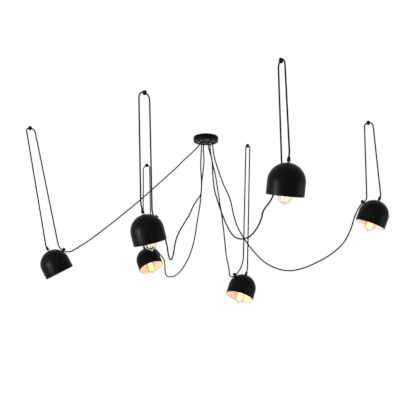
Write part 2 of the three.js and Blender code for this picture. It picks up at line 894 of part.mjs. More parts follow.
// The corner of the bend just above a fitting, where the cord turns from its way out of the
// fitting's mouth to its way up to the arch. The bend starts one lead past the mouth.
function bendCorner(mouth, wayOut, bendRadius, side, archRadius) {
  let corner = mouth.clone().addScaledVector(wayOut, CORD_LEAD);
  for (let attempt = 0; attempt < BEND_CORNER_TRIES; attempt += 1) {
    const wayUp = archCorner(corner, side, archRadius).sub(corner);
    const setBack = bendRadius * Math.tan(wayOut.angleTo(wayUp) / 2);
    corner = mouth.clone().addScaledVector(wayOut, CORD_LEAD + setBack);
  }
  return corner;
}

// The stretch that carries the lamp: through the clamp, up, over the hook and down to the grip.
function loopCord(lamp, lampGroup, hookGroup) {
  const lampToHook = hookGroup.matrix.clone().invert().multiply(lampGroup.matrix);
  const clampToHook = lampToHook.clone().multiply(clampMatrix());
  const inClamp = (x) => new THREE.Vector3(x, 0, CLAMP_CORD_HEIGHT).applyMatrix4(clampToHook);
  const inGrip = (z) => new THREE.Vector3(0, 0, z).applyMatrix4(lampToHook);
  const outOfClamp = new THREE.Vector3(-1, 0, 0).transformDirection(clampToHook);
  const outOfGrip = new THREE.Vector3(0, 0, 1).transformDirection(lampToHook);
  const [clampBend, clampArch, gripArch, gripBend] = [
    lamp.clampBendShare,
    lamp.clampArchShare,
    lamp.gripArchShare,
    lamp.gripBendShare,
  ].map((share) => share * CORD_BEND_RADIUS);
  const clampMouth = inClamp(-CLAMP_POST_DIAMETER / 2);
  const clampCorner = bendCorner(clampMouth, outOfClamp, clampBend, 1, clampArch);
  const gripCorner = bendCorner(inGrip(0), outOfGrip, gripBend, -1, gripArch);
  const corners = [
    inClamp(CLAMP_POST_DIAMETER / 2),
    clampCorner,
    archCorner(clampCorner, 1, clampArch),
    archCorner(gripCorner, -1, gripArch),
    gripCorner,
    inGrip(FIT_GAP),
  ];
  return tube(roundedRun(corners, [clampBend, clampArch, gripArch, gripBend]));
}

// The slack stretch: straight down out of its outlet, along its route and straight into the clamp.
function supplyCord(lamp, lampGroup) {
  const exit = outletPlace(lamp.outlet).setZ(OUTLET_MOUTH_Z - FIT_GAP);
  const intoClamp = (x) => new THREE.Vector3(x, 0, CLAMP_CORD_HEIGHT)
    .applyMatrix4(clampMatrix())
    .applyMatrix4(lampGroup.matrix);
  const entryX = CLAMP_POST_DIAMETER / 2 + FIT_GAP;
  const entry = intoClamp(entryX);
  const heading = new THREE.Vector3(entry.x - exit.x, entry.y - exit.y, 0).normalize();
  const left = new THREE.Vector3(-heading.y, heading.x, 0);
  const slack = lamp.route.map(([along, height, aside = 0]) =>
    exit.clone().setZ(height).addScaledVector(heading, along).addScaledVector(left, aside),
  );
  const route = new THREE.CatmullRomCurve3([
    exit,
    exit.clone().setZ(exit.z - CORD_LEAD),
    ...slack,
    intoClamp(entryX + CORD_LEAD),
    entry,
  ]);
  return tube(ringed(route));
}

// Assembly

function hookGroupOf(lamp) {
  const reach = lamp.reachShare * FURTHEST_REACH;
  const bearing = radians(lamp.bearing);
  const group = new THREE.Group();
  group.position.set(reach * Math.cos(bearing), reach * Math.sin(bearing), 0);
  group.rotation.z = radians(lamp.facing);
  group.updateMatrix();
  return group;
}

function lampGroupOf(lamp, hookGroup) {
  const group = new THREE.Group();
  group.position
    .set(lamp.asideShare * LOWEST_DROP, 0, -lamp.dropShare * LOWEST_DROP)
    .applyMatrix4(hookGroup.matrix);
  group.rotation.order = "ZYX";
  group.rotation.z = radians(lamp.facing);
  group.rotation.y = -radians(lamp.tilt);
  group.updateMatrix();
  return group;
}

const chandelier = new THREE.Group();
chandelier.add(
  piece("ceiling_bracket", ceilingBracket(), ZINC),
  piece("terminal_block", terminalBlock(), WHITE_PLASTIC),
  piece("canopy_cover", canopyCover(), SATIN_BLACK),
  piece("cover_screw_right", coverScrew(1), SATIN_BLACK),
  piece("cover_screw_left", coverScrew(-1), SATIN_BLACK),
);

LAMPS.forEach((lamp, index) => {
  const number = index + 1;
  const hookGroup = hookGroupOf(lamp);
  const lampGroup = lampGroupOf(lamp, hookGroup);
  const clampGroup = new THREE.Group();
  clampGroup.applyMatrix4(clampMatrix());
  hookGroup.add(piece(`ceiling_hook_${number}`, ceilingHook(), SATIN_BLACK));
  clampGroup.add(
    piece(`cord_clamp_${number}`, cordClamp(), SATIN_BLACK),
    piece(`clamp_knob_${number}`, clampKnob(), SATIN_BLACK),
  );
  lampGroup.add(
    clampGroup,
    piece(`shade_${number}`, shade(), SATIN_BLACK),
    piece(`lampholder_${number}`, lampholder(), BLACK_PLASTIC),
    piece(`bulb_${number}`, lamp.roundBulb ? roundBulb() : longBulb(), CLEAR_GLASS),
    piece(`cord_grip_${number}`, cordGrip(), BLACK_PLASTIC),
  );
  hookGroup.add(piece(`loop_cord_${number}`, loopCord(lamp, lampGroup, hookGroup), CORD_BLACK));
  chandelier.add(
    hookGroup,
    lampGroup,
    piece(`supply_cord_${number}`, supplyCord(lamp, lampGroup), CORD_BLACK),
  );
});

export default chandelier;
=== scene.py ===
"""Swag chandelier of six dome lamps: its canopy, ceiling hooks, cords, clamps, shades and bulbs.

Sizes are in metres, +Z is up and the ceiling is the plane Z = 0.
"""

import json
import math

import bpy
import numpy as np
from bpy.props import (
    FloatProperty,
    FloatVectorProperty,
    IntProperty,
    PointerProperty,
)
from bpy.types import Operator, Panel, PropertyGroup
from mathutils import Matrix, Vector


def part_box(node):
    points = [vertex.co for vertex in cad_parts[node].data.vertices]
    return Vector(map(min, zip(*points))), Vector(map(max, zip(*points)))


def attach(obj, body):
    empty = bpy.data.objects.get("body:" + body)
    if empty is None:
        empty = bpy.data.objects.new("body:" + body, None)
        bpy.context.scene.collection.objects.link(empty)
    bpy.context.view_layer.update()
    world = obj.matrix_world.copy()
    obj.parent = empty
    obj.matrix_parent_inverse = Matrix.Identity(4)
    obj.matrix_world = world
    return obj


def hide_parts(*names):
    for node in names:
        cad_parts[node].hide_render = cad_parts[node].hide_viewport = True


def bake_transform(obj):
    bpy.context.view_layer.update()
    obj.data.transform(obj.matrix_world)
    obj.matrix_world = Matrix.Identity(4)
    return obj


bl_info = {
    "name": "Swag chandelier",
    "version": (1, 0, 0),
    "blender": (4, 5, 0),
    "location": "View3D > Sidebar > Chandelier",
    "description": "Builds a six-lamp swag chandelier piece by piece",
    "category": "Add Mesh",
}

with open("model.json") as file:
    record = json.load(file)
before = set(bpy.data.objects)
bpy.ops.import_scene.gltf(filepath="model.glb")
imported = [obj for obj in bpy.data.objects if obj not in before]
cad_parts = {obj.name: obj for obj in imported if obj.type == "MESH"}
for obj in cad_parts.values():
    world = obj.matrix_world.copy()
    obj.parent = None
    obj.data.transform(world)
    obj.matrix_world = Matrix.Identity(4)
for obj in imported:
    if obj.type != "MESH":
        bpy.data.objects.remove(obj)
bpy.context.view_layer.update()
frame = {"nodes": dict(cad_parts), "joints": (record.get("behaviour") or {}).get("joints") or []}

LAMP_NUMBERS = range(1, 7)
ROOT = "ceiling_set"
FIT_GAP = 0.0003
TINY = 1e-9
UP = Vector((0, 0, 1))
# A profile's gentler bends aren't corners, and rounding takes at most this share of a stretch.
CORNER_BEND = math.radians(25)
CORNER_SHARE = 0.45
# The Mix node's inputs for a share and two colours, and its colour output.
MIX_SHARE, MIX_FIRST, MIX_SECOND, MIX_COLOUR = 0, 6, 7, 2

# Where each lamp's supply cord runs: its outlet on the canopy, and its route as distance along the
# straight line in plan from the outlet to the clamp, height, and distance to the left of that line.
SUPPLY_ROUTES = {
    1: (3, [
        (0.003, -0.052), (0.02, -0.071), (0.048, -0.102), (0.088, -0.141), (0.139, -0.196),
        (0.213, -0.269), (0.29, -0.344), (0.365, -0.415), (0.437, -0.48), (0.508, -0.542),
        (0.566, -0.591), (0.62, -0.635), (0.661, -0.666), (0.699, -0.692),
        (0.7185, -0.705, -0.001), (0.738, -0.716, -0.002), (0.752, -0.72, -0.0025),
        (0.765, -0.72, -0.002),
    ]),
    2: (4, [
        (0.003, -0.074), (0.009, -0.126), (0.014, -0.185), (0.01, -0.232), (0.002, -0.27),
        (0.0, -0.305), (0.003, -0.342), (0.015, -0.371), (0.043, -0.395), (0.082, -0.422),
        (0.127, -0.456), (0.168, -0.496), (0.209, -0.537), (0.256, -0.574), (0.303, -0.611),
        (0.358, -0.658), (0.392, -0.697), (0.415, -0.74), (0.43, -0.782), (0.446, -0.806),
        (0.467, -0.816), (0.487, -0.808), (0.502, -0.785), (0.514, -0.757), (0.532, -0.731),
        (0.558, -0.705, 0.001), (0.588, -0.682, 0.002), (0.618, -0.664, 0.003),
        (0.634, -0.655, 0.0035), (0.646, -0.647, 0.0025),
    ]),
    3: (2, [
        (0.003, -0.075), (-0.004, -0.122), (-0.001, -0.165), (0.007, -0.209), (0.018, -0.255),
        (0.024, -0.3), (0.03, -0.35), (0.039, -0.405), (0.057, -0.462), (0.079, -0.535),
        (0.1, -0.605), (0.133, -0.672), (0.19, -0.74), (0.262, -0.79), (0.33, -0.814),
        (0.391, -0.815), (0.428, -0.807), (0.45, -0.787), (0.458, -0.757), (0.46, -0.727),
        (0.471, -0.699), (0.493, -0.679, -0.001), (0.522, -0.66, -0.0025), (0.55, -0.641, -0.004),
        (0.572, -0.625, -0.004), (0.586, -0.615, -0.0025),
    ]),
    4: (5, [
        (0.006, -0.072), (0.032, -0.113), (0.06, -0.15), (0.08, -0.19), (0.088, -0.23),
        (0.093, -0.275), (0.106, -0.317), (0.122, -0.362), (0.15, -0.407), (0.193, -0.46),
        (0.25, -0.525), (0.312, -0.588), (0.374, -0.643), (0.45, -0.692), (0.53, -0.719),
        (0.605, -0.731), (0.685, -0.733), (0.755, -0.719), (0.808, -0.697), (0.843, -0.671),
        (0.863, -0.646), (0.897, -0.632), (0.94, -0.62), (0.9835, -0.599), (1.012, -0.572),
        (1.0307, -0.546), (1.0465, -0.526),
    ]),
    5: (1, [
        (0.001, -0.066), (0.005, -0.097), (0.011, -0.13), (0.018, -0.168), (0.03, -0.215),
        (0.039, -0.26), (0.046, -0.31), (0.055, -0.362), (0.061, -0.408), (0.07, -0.46),
        (0.077, -0.515), (0.083, -0.56), (0.089, -0.62), (0.095, -0.68), (0.1, -0.725),
        (0.108, -0.765, -0.0008), (0.115, -0.8, -0.0018), (0.1175, -0.83, -0.0023),
        (0.1202, -0.839, -0.0023), (0.1272, -0.8453, -0.0023), (0.1366, -0.8468, -0.0021),
    ]),
    6: (0, [
        (0.003, -0.066), (0.007, -0.1), (0.015, -0.14), (0.027, -0.183), (0.046, -0.241),
        (0.068, -0.303), (0.092, -0.356), (0.108, -0.395), (0.118, -0.435), (0.129, -0.49),
        (0.152, -0.565), (0.192, -0.639), (0.245, -0.713), (0.314, -0.783), (0.383, -0.82),
        (0.448, -0.834), (0.52, -0.825), (0.604, -0.794), (0.69, -0.748), (0.757, -0.69),
        (0.798, -0.62), (0.818, -0.564), (0.827, -0.541), (0.838, -0.518), (0.849, -0.499),
        (0.858, -0.485, 0.0005),
    ]),
}
# The loop cord's bends, from its clamp to its grip, as shares of the cord's least bend radius: above
# the clamp, the two halves of the arch over the hook, and above the grip.
LOOP_BEND_SHARES = {
    1: (3, 2.1, 1.15, 2),
    2: (3, 2.35, 2.5, 10),
    3: (3, 1.8, 2, 3),
    4: (1.5, 1.75, 2.7, 5),
    5: (10, 1, 1, 5),
    6: (2, 1.4, 1.65, 1.2),
}
ROUND_BULB_LAMPS = [1]


# Settings


def size(name, description, default):
    """A length that can be set in the sidebar."""
    return FloatProperty(
        name=name, description=description, default=default, min=0, unit="LENGTH", precision=4
    )


def colour(name, description, default):
    """A linear colour that can be set in the sidebar."""
    return FloatVectorProperty(
        name=name, description=description, default=default, min=0, max=1, subtype="COLOR"
    )


class CordSettings(PropertyGroup):
    diameter: size("Diameter", "Outer diameter of the limp round cord", 0.0075)
    bend_radius: size("Bend radius", "The least radius that the cord takes", 0.015)
    arch_flat: size("Arch flat", "Level stretch at the crown of the arch", 0.002)
    lead: size("Lead", "Straight stretch between a fitting and the cord's first bend", 0.003)
    sides: IntProperty(name="Sides", description="Faces round the cord", default=16, min=8)


class CanopySettings(PropertyGroup):
    diameter: size("Diameter", "Cover's diameter", 0.150)
    height: size("Height", "Cover's height below the ceiling", 0.030)
    wall: size("Wall", "Cover's sheet thickness", 0.0012)
    edge: size("Edge", "Radius of the lower edge", 0.005)
    ceiling_gap: size("Ceiling gap", "Gap between the cover and the ceiling", 0.0005)
    outlet_ring: size("Outlet ring", "Diameter of the ring of outlets", 0.080)
    nut_diameter: size("Nut", "Outlet nut's diameter", 0.013)
    nut_height: size("Nut height", "Outlet nut's height", 0.0025)
    grip_diameter: size("Grip", "Outlet grip's diameter at its foot", 0.0105)
    grip_tip: size("Grip tip", "Outlet grip's diameter at its mouth", 0.0095)
    grip_height: size("Grip height", "Outlet grip's height", 0.006)
    outlets: IntProperty(name="Outlets", description="Number of cord outlets", default=6, min=1)
    first_angle: FloatProperty(
        name="First outlet",
        description="Bearing of the first outlet from +X",
        default=math.radians(-10),
        subtype="ANGLE",
    )


class HookSettings(PropertyGroup):
    diameter: size("Diameter", "Hook's diameter", 0.020)
    height: size("Height", "Hook's height below the ceiling", 0.022)
    base: size("Base", "Solid base above the channel", 0.0028)
    nose: size("Nose", "Height of the rounded nose", 0.006)
    crown_depth: size("Crown depth", "From the ceiling to the middle of the cord", 0.009)
    channel_clearance: size("Clearance", "Space beside the cord in its channel", 0.0012)
    lip: size("Lip", "Rise of the lip at the channel's open side", 0.002)


class ShadeSettings(PropertyGroup):
    diameter: size("Diameter", "Shade's diameter", 0.164)
    height: size("Height", "From the rim to the apex", 0.140)
    wall: size("Wall", "Sheet thickness", 0.0012)
    hem: size("Hem", "Thickness of the folded rim", 0.0022)
    hem_height: size("Hem height", "Height of the folded rim", 0.004)


class GripSettings(PropertyGroup):
    height: size("Height", "Bell's height", 0.022)
    diameter: size("Diameter", "Bell's largest diameter", 0.016)
    tip_diameter: size("Tip", "Bell's diameter at the cord", 0.0105)
    nut_diameter: size("Nut", "Nut's diameter", 0.012)
    nut_height: size("Nut height", "Nut's height", 0.0037)
    neck_diameter: size("Neck", "Diameter of the threaded neck through the apex", 0.010)
    socket_depth: size("Socket", "How far the neck goes into the nut and bell", 0.006)


class HolderSettings(PropertyGroup):
    diameter: size("Diameter", "Lampholder's diameter", 0.038)
    length: size("Length", "Lampholder's length", 0.060)
    shoulder: size("Shoulder", "Height of its shoulder", 0.012)
    collar: size("Collar", "Diameter at its top", 0.024)
    socket_depth: size("Socket depth", "How deep the bulb's cap sits", 0.0215)
    socket_clearance: size("Socket clearance", "Play round the bulb's cap", 0.0008)
    ribs: IntProperty(name="Ribs", description="Grip ribs round the barrel", default=36, min=3)


class BulbSettings(PropertyGroup):
    diameter: size("Diameter", "The long bulb's glass diameter", 0.064)
    glass_length: size("Glass length", "From the long bulb's cap to its tip", 0.115)
    round_diameter: size("Round diameter", "The round bulb's glass diameter", 0.040)
    round_length: size("Round length", "From the round bulb's cap to its tip", 0.048)
    glass_wall: size("Glass wall", "Thickness of the glass", 0.0009)
    cap_diameter: size("Cap", "Screw cap's diameter", 0.0266)
    cap_length: size("Cap length", "Screw cap's length", 0.027)
    cap_turns: IntProperty(name="Thread turns", description="Turns of the cap's thread", default=5)
    filament_loops: IntProperty(
        name="Filament loops", description="Long loops of the filament", default=6, min=3
    )
    wire: size("Filament wire", "Diameter of the filament", 0.0011)


class ClampSettings(PropertyGroup):
    polar_angle: FloatProperty(
        name="Place",
        description="Angle from the shade's apex to the clamp",
        default=math.radians(58),
        subtype="ANGLE",
    )
    cord_height: size("Cord height", "From the dome to the middle of the cord", 0.008)
    post_diameter: size("Post", "Post's diameter", 0.014)
    post_height: size("Post height", "Post's height", 0.014)
    base_diameter: size("Base", "Base flange's diameter", 0.017)
    base_thickness: size("Base thickness", "Base flange's thickness", 0.0022)
    stud_diameter: size("Stud", "Stud through the shade", 0.004)
    nut_diameter: size("Nut", "Nut inside the shade, across its corners", 0.009)
    nut_thickness: size("Nut thickness", "Nut's thickness", 0.003)
    screw_diameter: size("Screw", "Knob screw's diameter", 0.005)
    knob_diameter: size("Knob", "Knob's diameter", 0.019)
    knob_height: size("Knob height", "Knob's height", 0.008)
    flutes: IntProperty(name="Flutes", description="Ribs round the knob", default=28, min=3)


class FinishSettings(PropertyGroup):
    black_paint: colour("Black paint", "Matt powder coat", (0.0012, 0.0012, 0.0013))
    # The enamel's base is greyer than white, to leave room for the lamplight painted on it. The two
    # glows below are that painted lamplight, emitted by the enamel.
    inner_paint: colour("Inner paint", "White enamel inside the shades", (0.47, 0.43, 0.37))
    rim_painted_lamplight: colour("Rim glow", "Lamplight on the enamel near the rim", (0.70, 0.47, 0.29))
    deep_painted_lamplight: colour("Deep glow", "Lamplight on the enamel near the bulb", (0.86, 0.60, 0.30))
    cable: colour("Cord", "Black cord", (0.0015, 0.0015, 0.0016))
    plastic: colour("Plastic", "Black moulded plastic", (0.0030, 0.0030, 0.0032))
    nylon: colour("Nylon", "Pale nylon of the small nuts", (0.50, 0.46, 0.41))
    brass: colour("Brass", "Terminal screws", (0.86, 0.74, 0.58))
    zinc: colour("Zinc", "Bright zinc of the bracket and nuts", (0.55, 0.56, 0.58))
    ivory: colour("Ivory plastic", "Terminal block", (0.80, 0.78, 0.72))
    glass: colour("Glass", "Tint of the bulb's glass", (0.97, 0.942, 0.90))
    # Painted shade: the darker tint given to the glass where it is seen edge on.
    glass_edge_shade: colour("Glass edge", "Tint where the glass is seen edge on", (0.78, 0.69, 0.58))
    filament: colour("Filament", "Cooler stretches of the lit filament", (1.0, 0.48, 0.18))
    hot_filament: colour("Hot filament", "Hottest stretches of it", (1.0, 0.78, 0.49))


class StudioSettings(PropertyGroup):
    floor_level: FloatProperty(name="Floor", description="Floor's height", default=-3.0)
    camera_place: FloatVectorProperty(
        name="Camera", description="Camera's place", default=(0.013, -3.732, -1.250)
    )
    camera_pitch: FloatProperty(
        name="Pitch",
        description="Camera's pitch above the horizon",
        default=math.radians(12.2),
        subtype="ANGLE",
    )
    camera_lens: FloatProperty(name="Lens", description="Focal length, 36 mm sensor", default=55.385)


class ChandelierSettings(PropertyGroup):
    cord: PointerProperty(type=CordSettings)
    canopy: PointerProperty(type=CanopySettings)
    hook: PointerProperty(type=HookSettings)
    shade: PointerProperty(type=ShadeSettings)
    grip: PointerProperty(type=GripSettings)
    holder: PointerProperty(type=HolderSettings)
    bulb: PointerProperty(type=BulbSettings)
    clamp: PointerProperty(type=ClampSettings)
    finish: PointerProperty(type=FinishSettings)
    studio: PointerProperty(type=StudioSettings)


def settings():
    return bpy.context.scene.chandelier


# Node trees


class Signal:
    """A number from a node's output. Python's operators on it add Math nodes."""

    def __init__(self, tree, socket):
        self.tree = tree
        self.socket = socket

    def math(self, operation, first, second):
        return self.tree.add("ShaderNodeMath", {"operation": operation}, {0: first, 1: second})[0]

    def __add__(self, other):
        return self.math("ADD", self, other)

    def __sub__(self, other):
        return self.math("SUBTRACT", self, other)

    def __rsub__(self, other):
        return self.math("SUBTRACT", other, self)

    def __mul__(self, other):
        return self.math("MULTIPLY", self, other)

    def most(self, other):
        return self.math("MAXIMUM", self, other)

    __radd__ = __add__
    __rmul__ = __mul__


class Step:
    """One node, whose outputs are read by name or number."""

    def __init__(self, tree, node):
        self.tree = tree
        self.node = node

    def __getitem__(self, output):
        return Signal(self.tree, self.node.outputs[output])


class Tree:
    """A shader or geometry node tree."""

    def __init__(self, nodes):
        self.nodes = nodes

    def add(self, kind, choices=None, inputs=None):
        """A new node, with its choices set first and then its sockets' values or links."""
        node = self.nodes.nodes.new(kind)
        for name, value in (choices or {}).items():
            if name == "stops":
                for element, (position, level) in zip(node.color_ramp.elements, value):
                    element.position = position
                    element.color = (level, level, level, 1)
            else:
                setattr(node, name, value)
        for name, value in (inputs or {}).items():
            if isinstance(value, Signal):
                self.nodes.links.new(value.socket, node.inputs[name])
            else:
                node.inputs[name].default_value = value
        return Step(self, node)

    def blend(self, share, first, second):
        """A colour between two others."""
        colours = {MIX_SHARE: share, MIX_FIRST: opaque(first), MIX_SECOND: opaque(second)}
        return self.add("ShaderNodeMix", {"data_type": "RGBA"}, colours)[MIX_COLOUR]

    def grain(self, scale, detail=2.0, stretch=(1, 1, 1)):
        """Noise on the piece's own coordinates, its scale in bumps per metre."""
        place = self.add("ShaderNodeTexCoord")["Object"]
        place = self.add("ShaderNodeMapping", None, {"Vector": place, "Scale": stretch})[0]
        return self.add(
            "ShaderNodeTexNoise", None, {"Vector": place, "Scale": scale, "Detail": detail}
        )[0]


def seen_rays(tree):
    """1 for rays from the camera, through glass and in reflections, and 0 for scattered light."""
    rays = tree.add("ShaderNodeLightPath")
    return rays["Is Camera Ray"].most(rays["Is Transmission Ray"]).most(rays["Is Glossy Ray"])


def opaque(value):
    return value if isinstance(value, Signal) or len(value) == 4 else (*value, 1)


def surface(name, inputs, relief=None, relief_depth=0.0):
    """Starts a material, asks inputs(tree) for the shader's sockets, and adds an optional relief."""
    if name in bpy.data.materials:
        return bpy.data.materials[name]
    material = bpy.data.materials.new(name)
    material.use_nodes = True
    material.node_tree.nodes.clear()
    tree = Tree(material.node_tree)
    sockets = inputs(tree)
    if relief:
        sockets["Normal"] = tree.add(
            "ShaderNodeBump", None, {"Height": relief(tree), "Distance": relief_depth}
        )[0]
    shader = tree.add("ShaderNodeBsdfPrincipled", None, sockets)[0]
    tree.add("ShaderNodeOutputMaterial", None, {"Surface": shader})
    return material


# Finishes


def toned(tint, share):
    """A colour with each of its levels scaled."""
    return tuple(share * level for level in tint)


def mottled(name, tints, scale, roughness, relief, detail=2.0, specular=None):
    """A surface that drifts between two tints, and gets rougher, with noise of one scale.

    roughness is its least and what the noise adds. relief is the scale and depth of its fine grain.
    """

    def inputs(tree):
        cloud = tree.grain(scale, detail)
        least, added = roughness
        sockets = {"Base Color": tree.blend(cloud, *tints), "Roughness": least + added * cloud}
        if specular is not None:
            sockets["Specular IOR Level"] = specular
        return sockets

    relief_scale, relief_depth = relief
    return surface(name, inputs, lambda tree: tree.grain(relief_scale), relief_depth)


def black_paint():
    finish = settings().finish

    def inputs(tree):
        cloud = tree.grain(9)
        fine = tree.grain(500, detail=3)
        return {
            "Base Color": tree.blend(cloud, finish.black_paint, toned(finish.black_paint, 1.4)),
            "Roughness": 0.36 + 0.03 * cloud + 0.03 * fine,
            "Specular IOR Level": 0.054,
        }

    return surface("matt black paint", inputs, lambda tree: tree.grain(900, 3), 0.00002)


def inner_paint():
    """White enamel with its bulb's light painted on as an emitted glow: yellower deep inside, pinker
    towards the rim.
    """
    finish = settings().finish

    def inputs(tree):
        along = tree.add("ShaderNodeSeparateXYZ", None, {0: tree.add("ShaderNodeUVMap")[0]})[1]
        depth = tree.add("ShaderNodeValToRGB", {"stops": [(0.5, 1), (0.95, 0)]}, {0: along})[0]
        cloud = tree.grain(25)
        return {
            "Base Color": tree.blend(cloud, finish.inner_paint, toned(finish.inner_paint, 1.04)),
            "Roughness": 0.5 + 0.1 * cloud,
            "Specular IOR Level": 0.3,
            # Painted lamplight: the enamel emits this glow itself, going from the deep colour inside to
            # the rim colour.
            "Emission Color": tree.blend(depth, finish.rim_painted_lamplight, finish.deep_painted_lamplight),
            "Emission Strength": 0.8,
        }

    return surface("enamel with painted lamplight", inputs, lambda tree: tree.grain(600, 3), 0.00002)


def cable():
    """A matt cord with a fine grain."""
    tint = settings().finish.cable
    return mottled(
        "black cord",
        (tint, toned(tint, 1.8)),
        scale=60,
        roughness=(0.66, 0.14),
        relief=(900, 0.00005),
        detail=4,
        specular=0.05,
    )


def black_plastic():
    tint = settings().finish.plastic
    return mottled(
        "black moulded plastic",
        (tint, toned(tint, 1.5)),
        scale=120,
        roughness=(0.40, 0.14),
        relief=(1600, 0.00002),
        specular=0.08,
    )


def nylon():
    tint = settings().finish.nylon
    return mottled(
        "pale nylon",
        (tint, toned(tint, 0.9)),
        scale=150,
        roughness=(0.3, 0.1),
        relief=(900, 0.00002),
    )


def ivory_plastic():
    tint = settings().finish.ivory
    yellower = tuple(level * share for level, share in zip(tint, (0.98, 0.95, 0.88)))
    return mottled(
        "ivory plastic",
        (tint, yellower),
        scale=80,
        roughness=(0.4, 0.1),
        relief=(700, 0.00004),
    )


def wire_sheath(name, tint):
    return mottled(
        name,
        (tint, toned(tint, 0.8)),
        scale=150,
        roughness=(0.35, 0.1),
        relief=(900, 0.00003),
    )


def metal(name, tint, roughness):
    """A plated metal, with fine turning marks."""

    def inputs(tree):
        marks = tree.grain(300, detail=3, stretch=(1, 1, 6))
        return {
            "Base Color": tree.blend(marks, tint, toned(tint, 0.86)),
            "Metallic": 1.0,
            "Roughness": roughness + 0.12 * marks,
        }

    return surface(name, inputs, lambda tree: tree.grain(900, 2, (1, 1, 5)), 0.00003)


def zinc():
    return metal("bright zinc", settings().finish.zinc, 0.3)


def bulb_glass():
    finish = settings().finish

    def inputs(tree):
        streaks = tree.grain(30, detail=3, stretch=(1, 1, 0.3))
        edge = tree.add("ShaderNodeLayerWeight", None, {"Blend": 0.5})["Facing"]
        return {
            # Painted shade: the glass's colour turns darker where it is seen edge on.
            "Base Color": tree.blend(edge + 0.1 * streaks, finish.glass, finish.glass_edge_shade),
            "Roughness": 0.01 + 0.02 * streaks,
            "Transmission Weight": 1.0,
            "IOR": 1.3,
        }

    return surface("clear bulb glass", inputs)


def stem_glass():
    def inputs(tree):
        cloud = tree.grain(200)
        return {
            "Base Color": tree.blend(cloud, (1.0, 0.93, 0.80), (1.0, 0.97, 0.90)),
            "Roughness": 0.15 + 0.1 * cloud,
            # Painted light: the glass stem emits a warm glow of its own, as if lit by the filament.
            "Emission Color": tree.blend(cloud, (1.0, 0.80, 0.50), (1.0, 0.88, 0.66)),
            "Emission Strength": 0.8,
        }

    return surface("glass stem with painted glow", inputs)


def lit_filament():
    finish = settings().finish

    def inputs(tree):
        hot = tree.grain(90, detail=1)
        return {
            "Base Color": (0.1, 0.06, 0.03, 1),
            "Roughness": 0.5,
            "Emission Color": tree.blend(hot, finish.filament, finish.hot_filament),
            "Emission Strength": 3.6,
        }

    return surface("lit filament", inputs)


# Meshes


def softened(profile, edge, steps=3):
    """The profile with each sharp corner that isn't on the axis rounded off."""
    points = [Vector((radius, height)) for radius, height in profile]
    out = [points[0]]
    for before, corner, after in zip(points, points[1:], points[2:]):
        into, away = corner - before, after - corner
        reach = min(edge, CORNER_SHARE * into.length, CORNER_SHARE * away.length)
        if corner.x < TINY or into.angle(away) < CORNER_BEND:
            out.append(corner)
            continue
        start = corner - into.normalized() * reach
        finish = corner + away.normalized() * reach
        for step in range(steps + 1):
            share = step / steps
            near = start.lerp(corner, share)
            far = corner.lerp(finish, share)
            out.append(near.lerp(far, share))
    out.append(points[-1])
    return [tuple(point) for point in out]


def mesh_from(name, points, faces, material, slots=None, uvs=None):
    """A smooth mesh with sharp corners. slots gives each face's place in a list of materials."""
    mesh = bpy.data.meshes.new(name)
    mesh.from_pydata(points, [], faces)
    for one in material if isinstance(material, list) else [material]:
        mesh.materials.append(one)
    if slots:
        mesh.polygons.foreach_set("material_index", slots)
    if uvs:
        layer = mesh.uv_layers.new(name="UVMap")
        layer.data.foreach_set("uv", [number for pair in uvs for number in pair])
    mesh.validate()
    crisp(mesh)
    return mesh


def crisp(mesh, angle=32):
    """Smooth shading that keeps edges sharper than the angle."""
    mesh.shade_smooth()
    mesh.set_sharp_from_angle(angle=math.radians(angle))


def turned(name, profile, material, segments=64, closed=False, slots=None):
    """A solid of revolution about Z. Its (radius, height) points run outwards below, inwards above.

    A closed profile is a loop that stays off the axis. slots gives each stretch's material.
    """
    stretches = list(zip(range(len(profile)), range(1, len(profile))))
    if closed:
        stretches.append((len(profile) - 1, 0))
    lengths = [math.dist(profile[a], profile[b]) for a, b in stretches]
    shares = np.concatenate([[0], np.cumsum(lengths)]) / sum(lengths)
    points, rings = [], []
    for radius, height in profile:
        count = segments if radius > TINY else 1
        rings.append(range(len(points), len(points) + count))
        for side in range(count):
            angle = 2 * math.pi * side / count
            points.append((radius * math.cos(angle), radius * math.sin(angle), height))
    faces, face_slots, uvs = [], [], []
    for index, (a, b) in enumerate(stretches):
        low, high = rings[a], rings[b]
        if len(low) == len(high) == 1:
            continue
        for side in range(segments):
            after = (side + 1) % segments
            left, right = side / segments, (side + 1) / segments
            corners = {
                low[side % len(low)]: (left, shares[index]),
                low[after % len(low)]: (right, shares[index]),
                high[after % len(high)]: (right, shares[index + 1]),
                high[side % len(high)]: (left, shares[index + 1]),
            }
            faces.append(list(corners))
            uvs.extend(corners.values())
            face_slots.append(slots[index] if slots else 0)
    return mesh_from(name, points, faces, material, face_slots, uvs)


def taken(piece):
    """The piece's mesh with its modifiers applied. The piece goes."""
    graph = bpy.context.evaluated_depsgraph_get()
    mesh = bpy.data.meshes.new_from_object(piece.evaluated_get(graph), depsgraph=graph)
    bpy.data.objects.remove(piece)
    return mesh


def shown(name, mesh):
    piece = bpy.data.objects.new(name, mesh)
    bpy.context.scene.collection.objects.link(piece)
    return piece


def joined(name, meshes):
    """One mesh of several, with each one's materials kept."""
    pieces = [shown(f"{name} {index}", mesh) for index, mesh in enumerate(meshes)]
    with bpy.context.temp_override(
        active_object=pieces[0], selected_editable_objects=pieces, selected_objects=pieces
    ):
        bpy.ops.object.join()
    mesh = pieces[0].data
    bpy.data.objects.remove(pieces[0])
    mesh.name = name
    return mesh


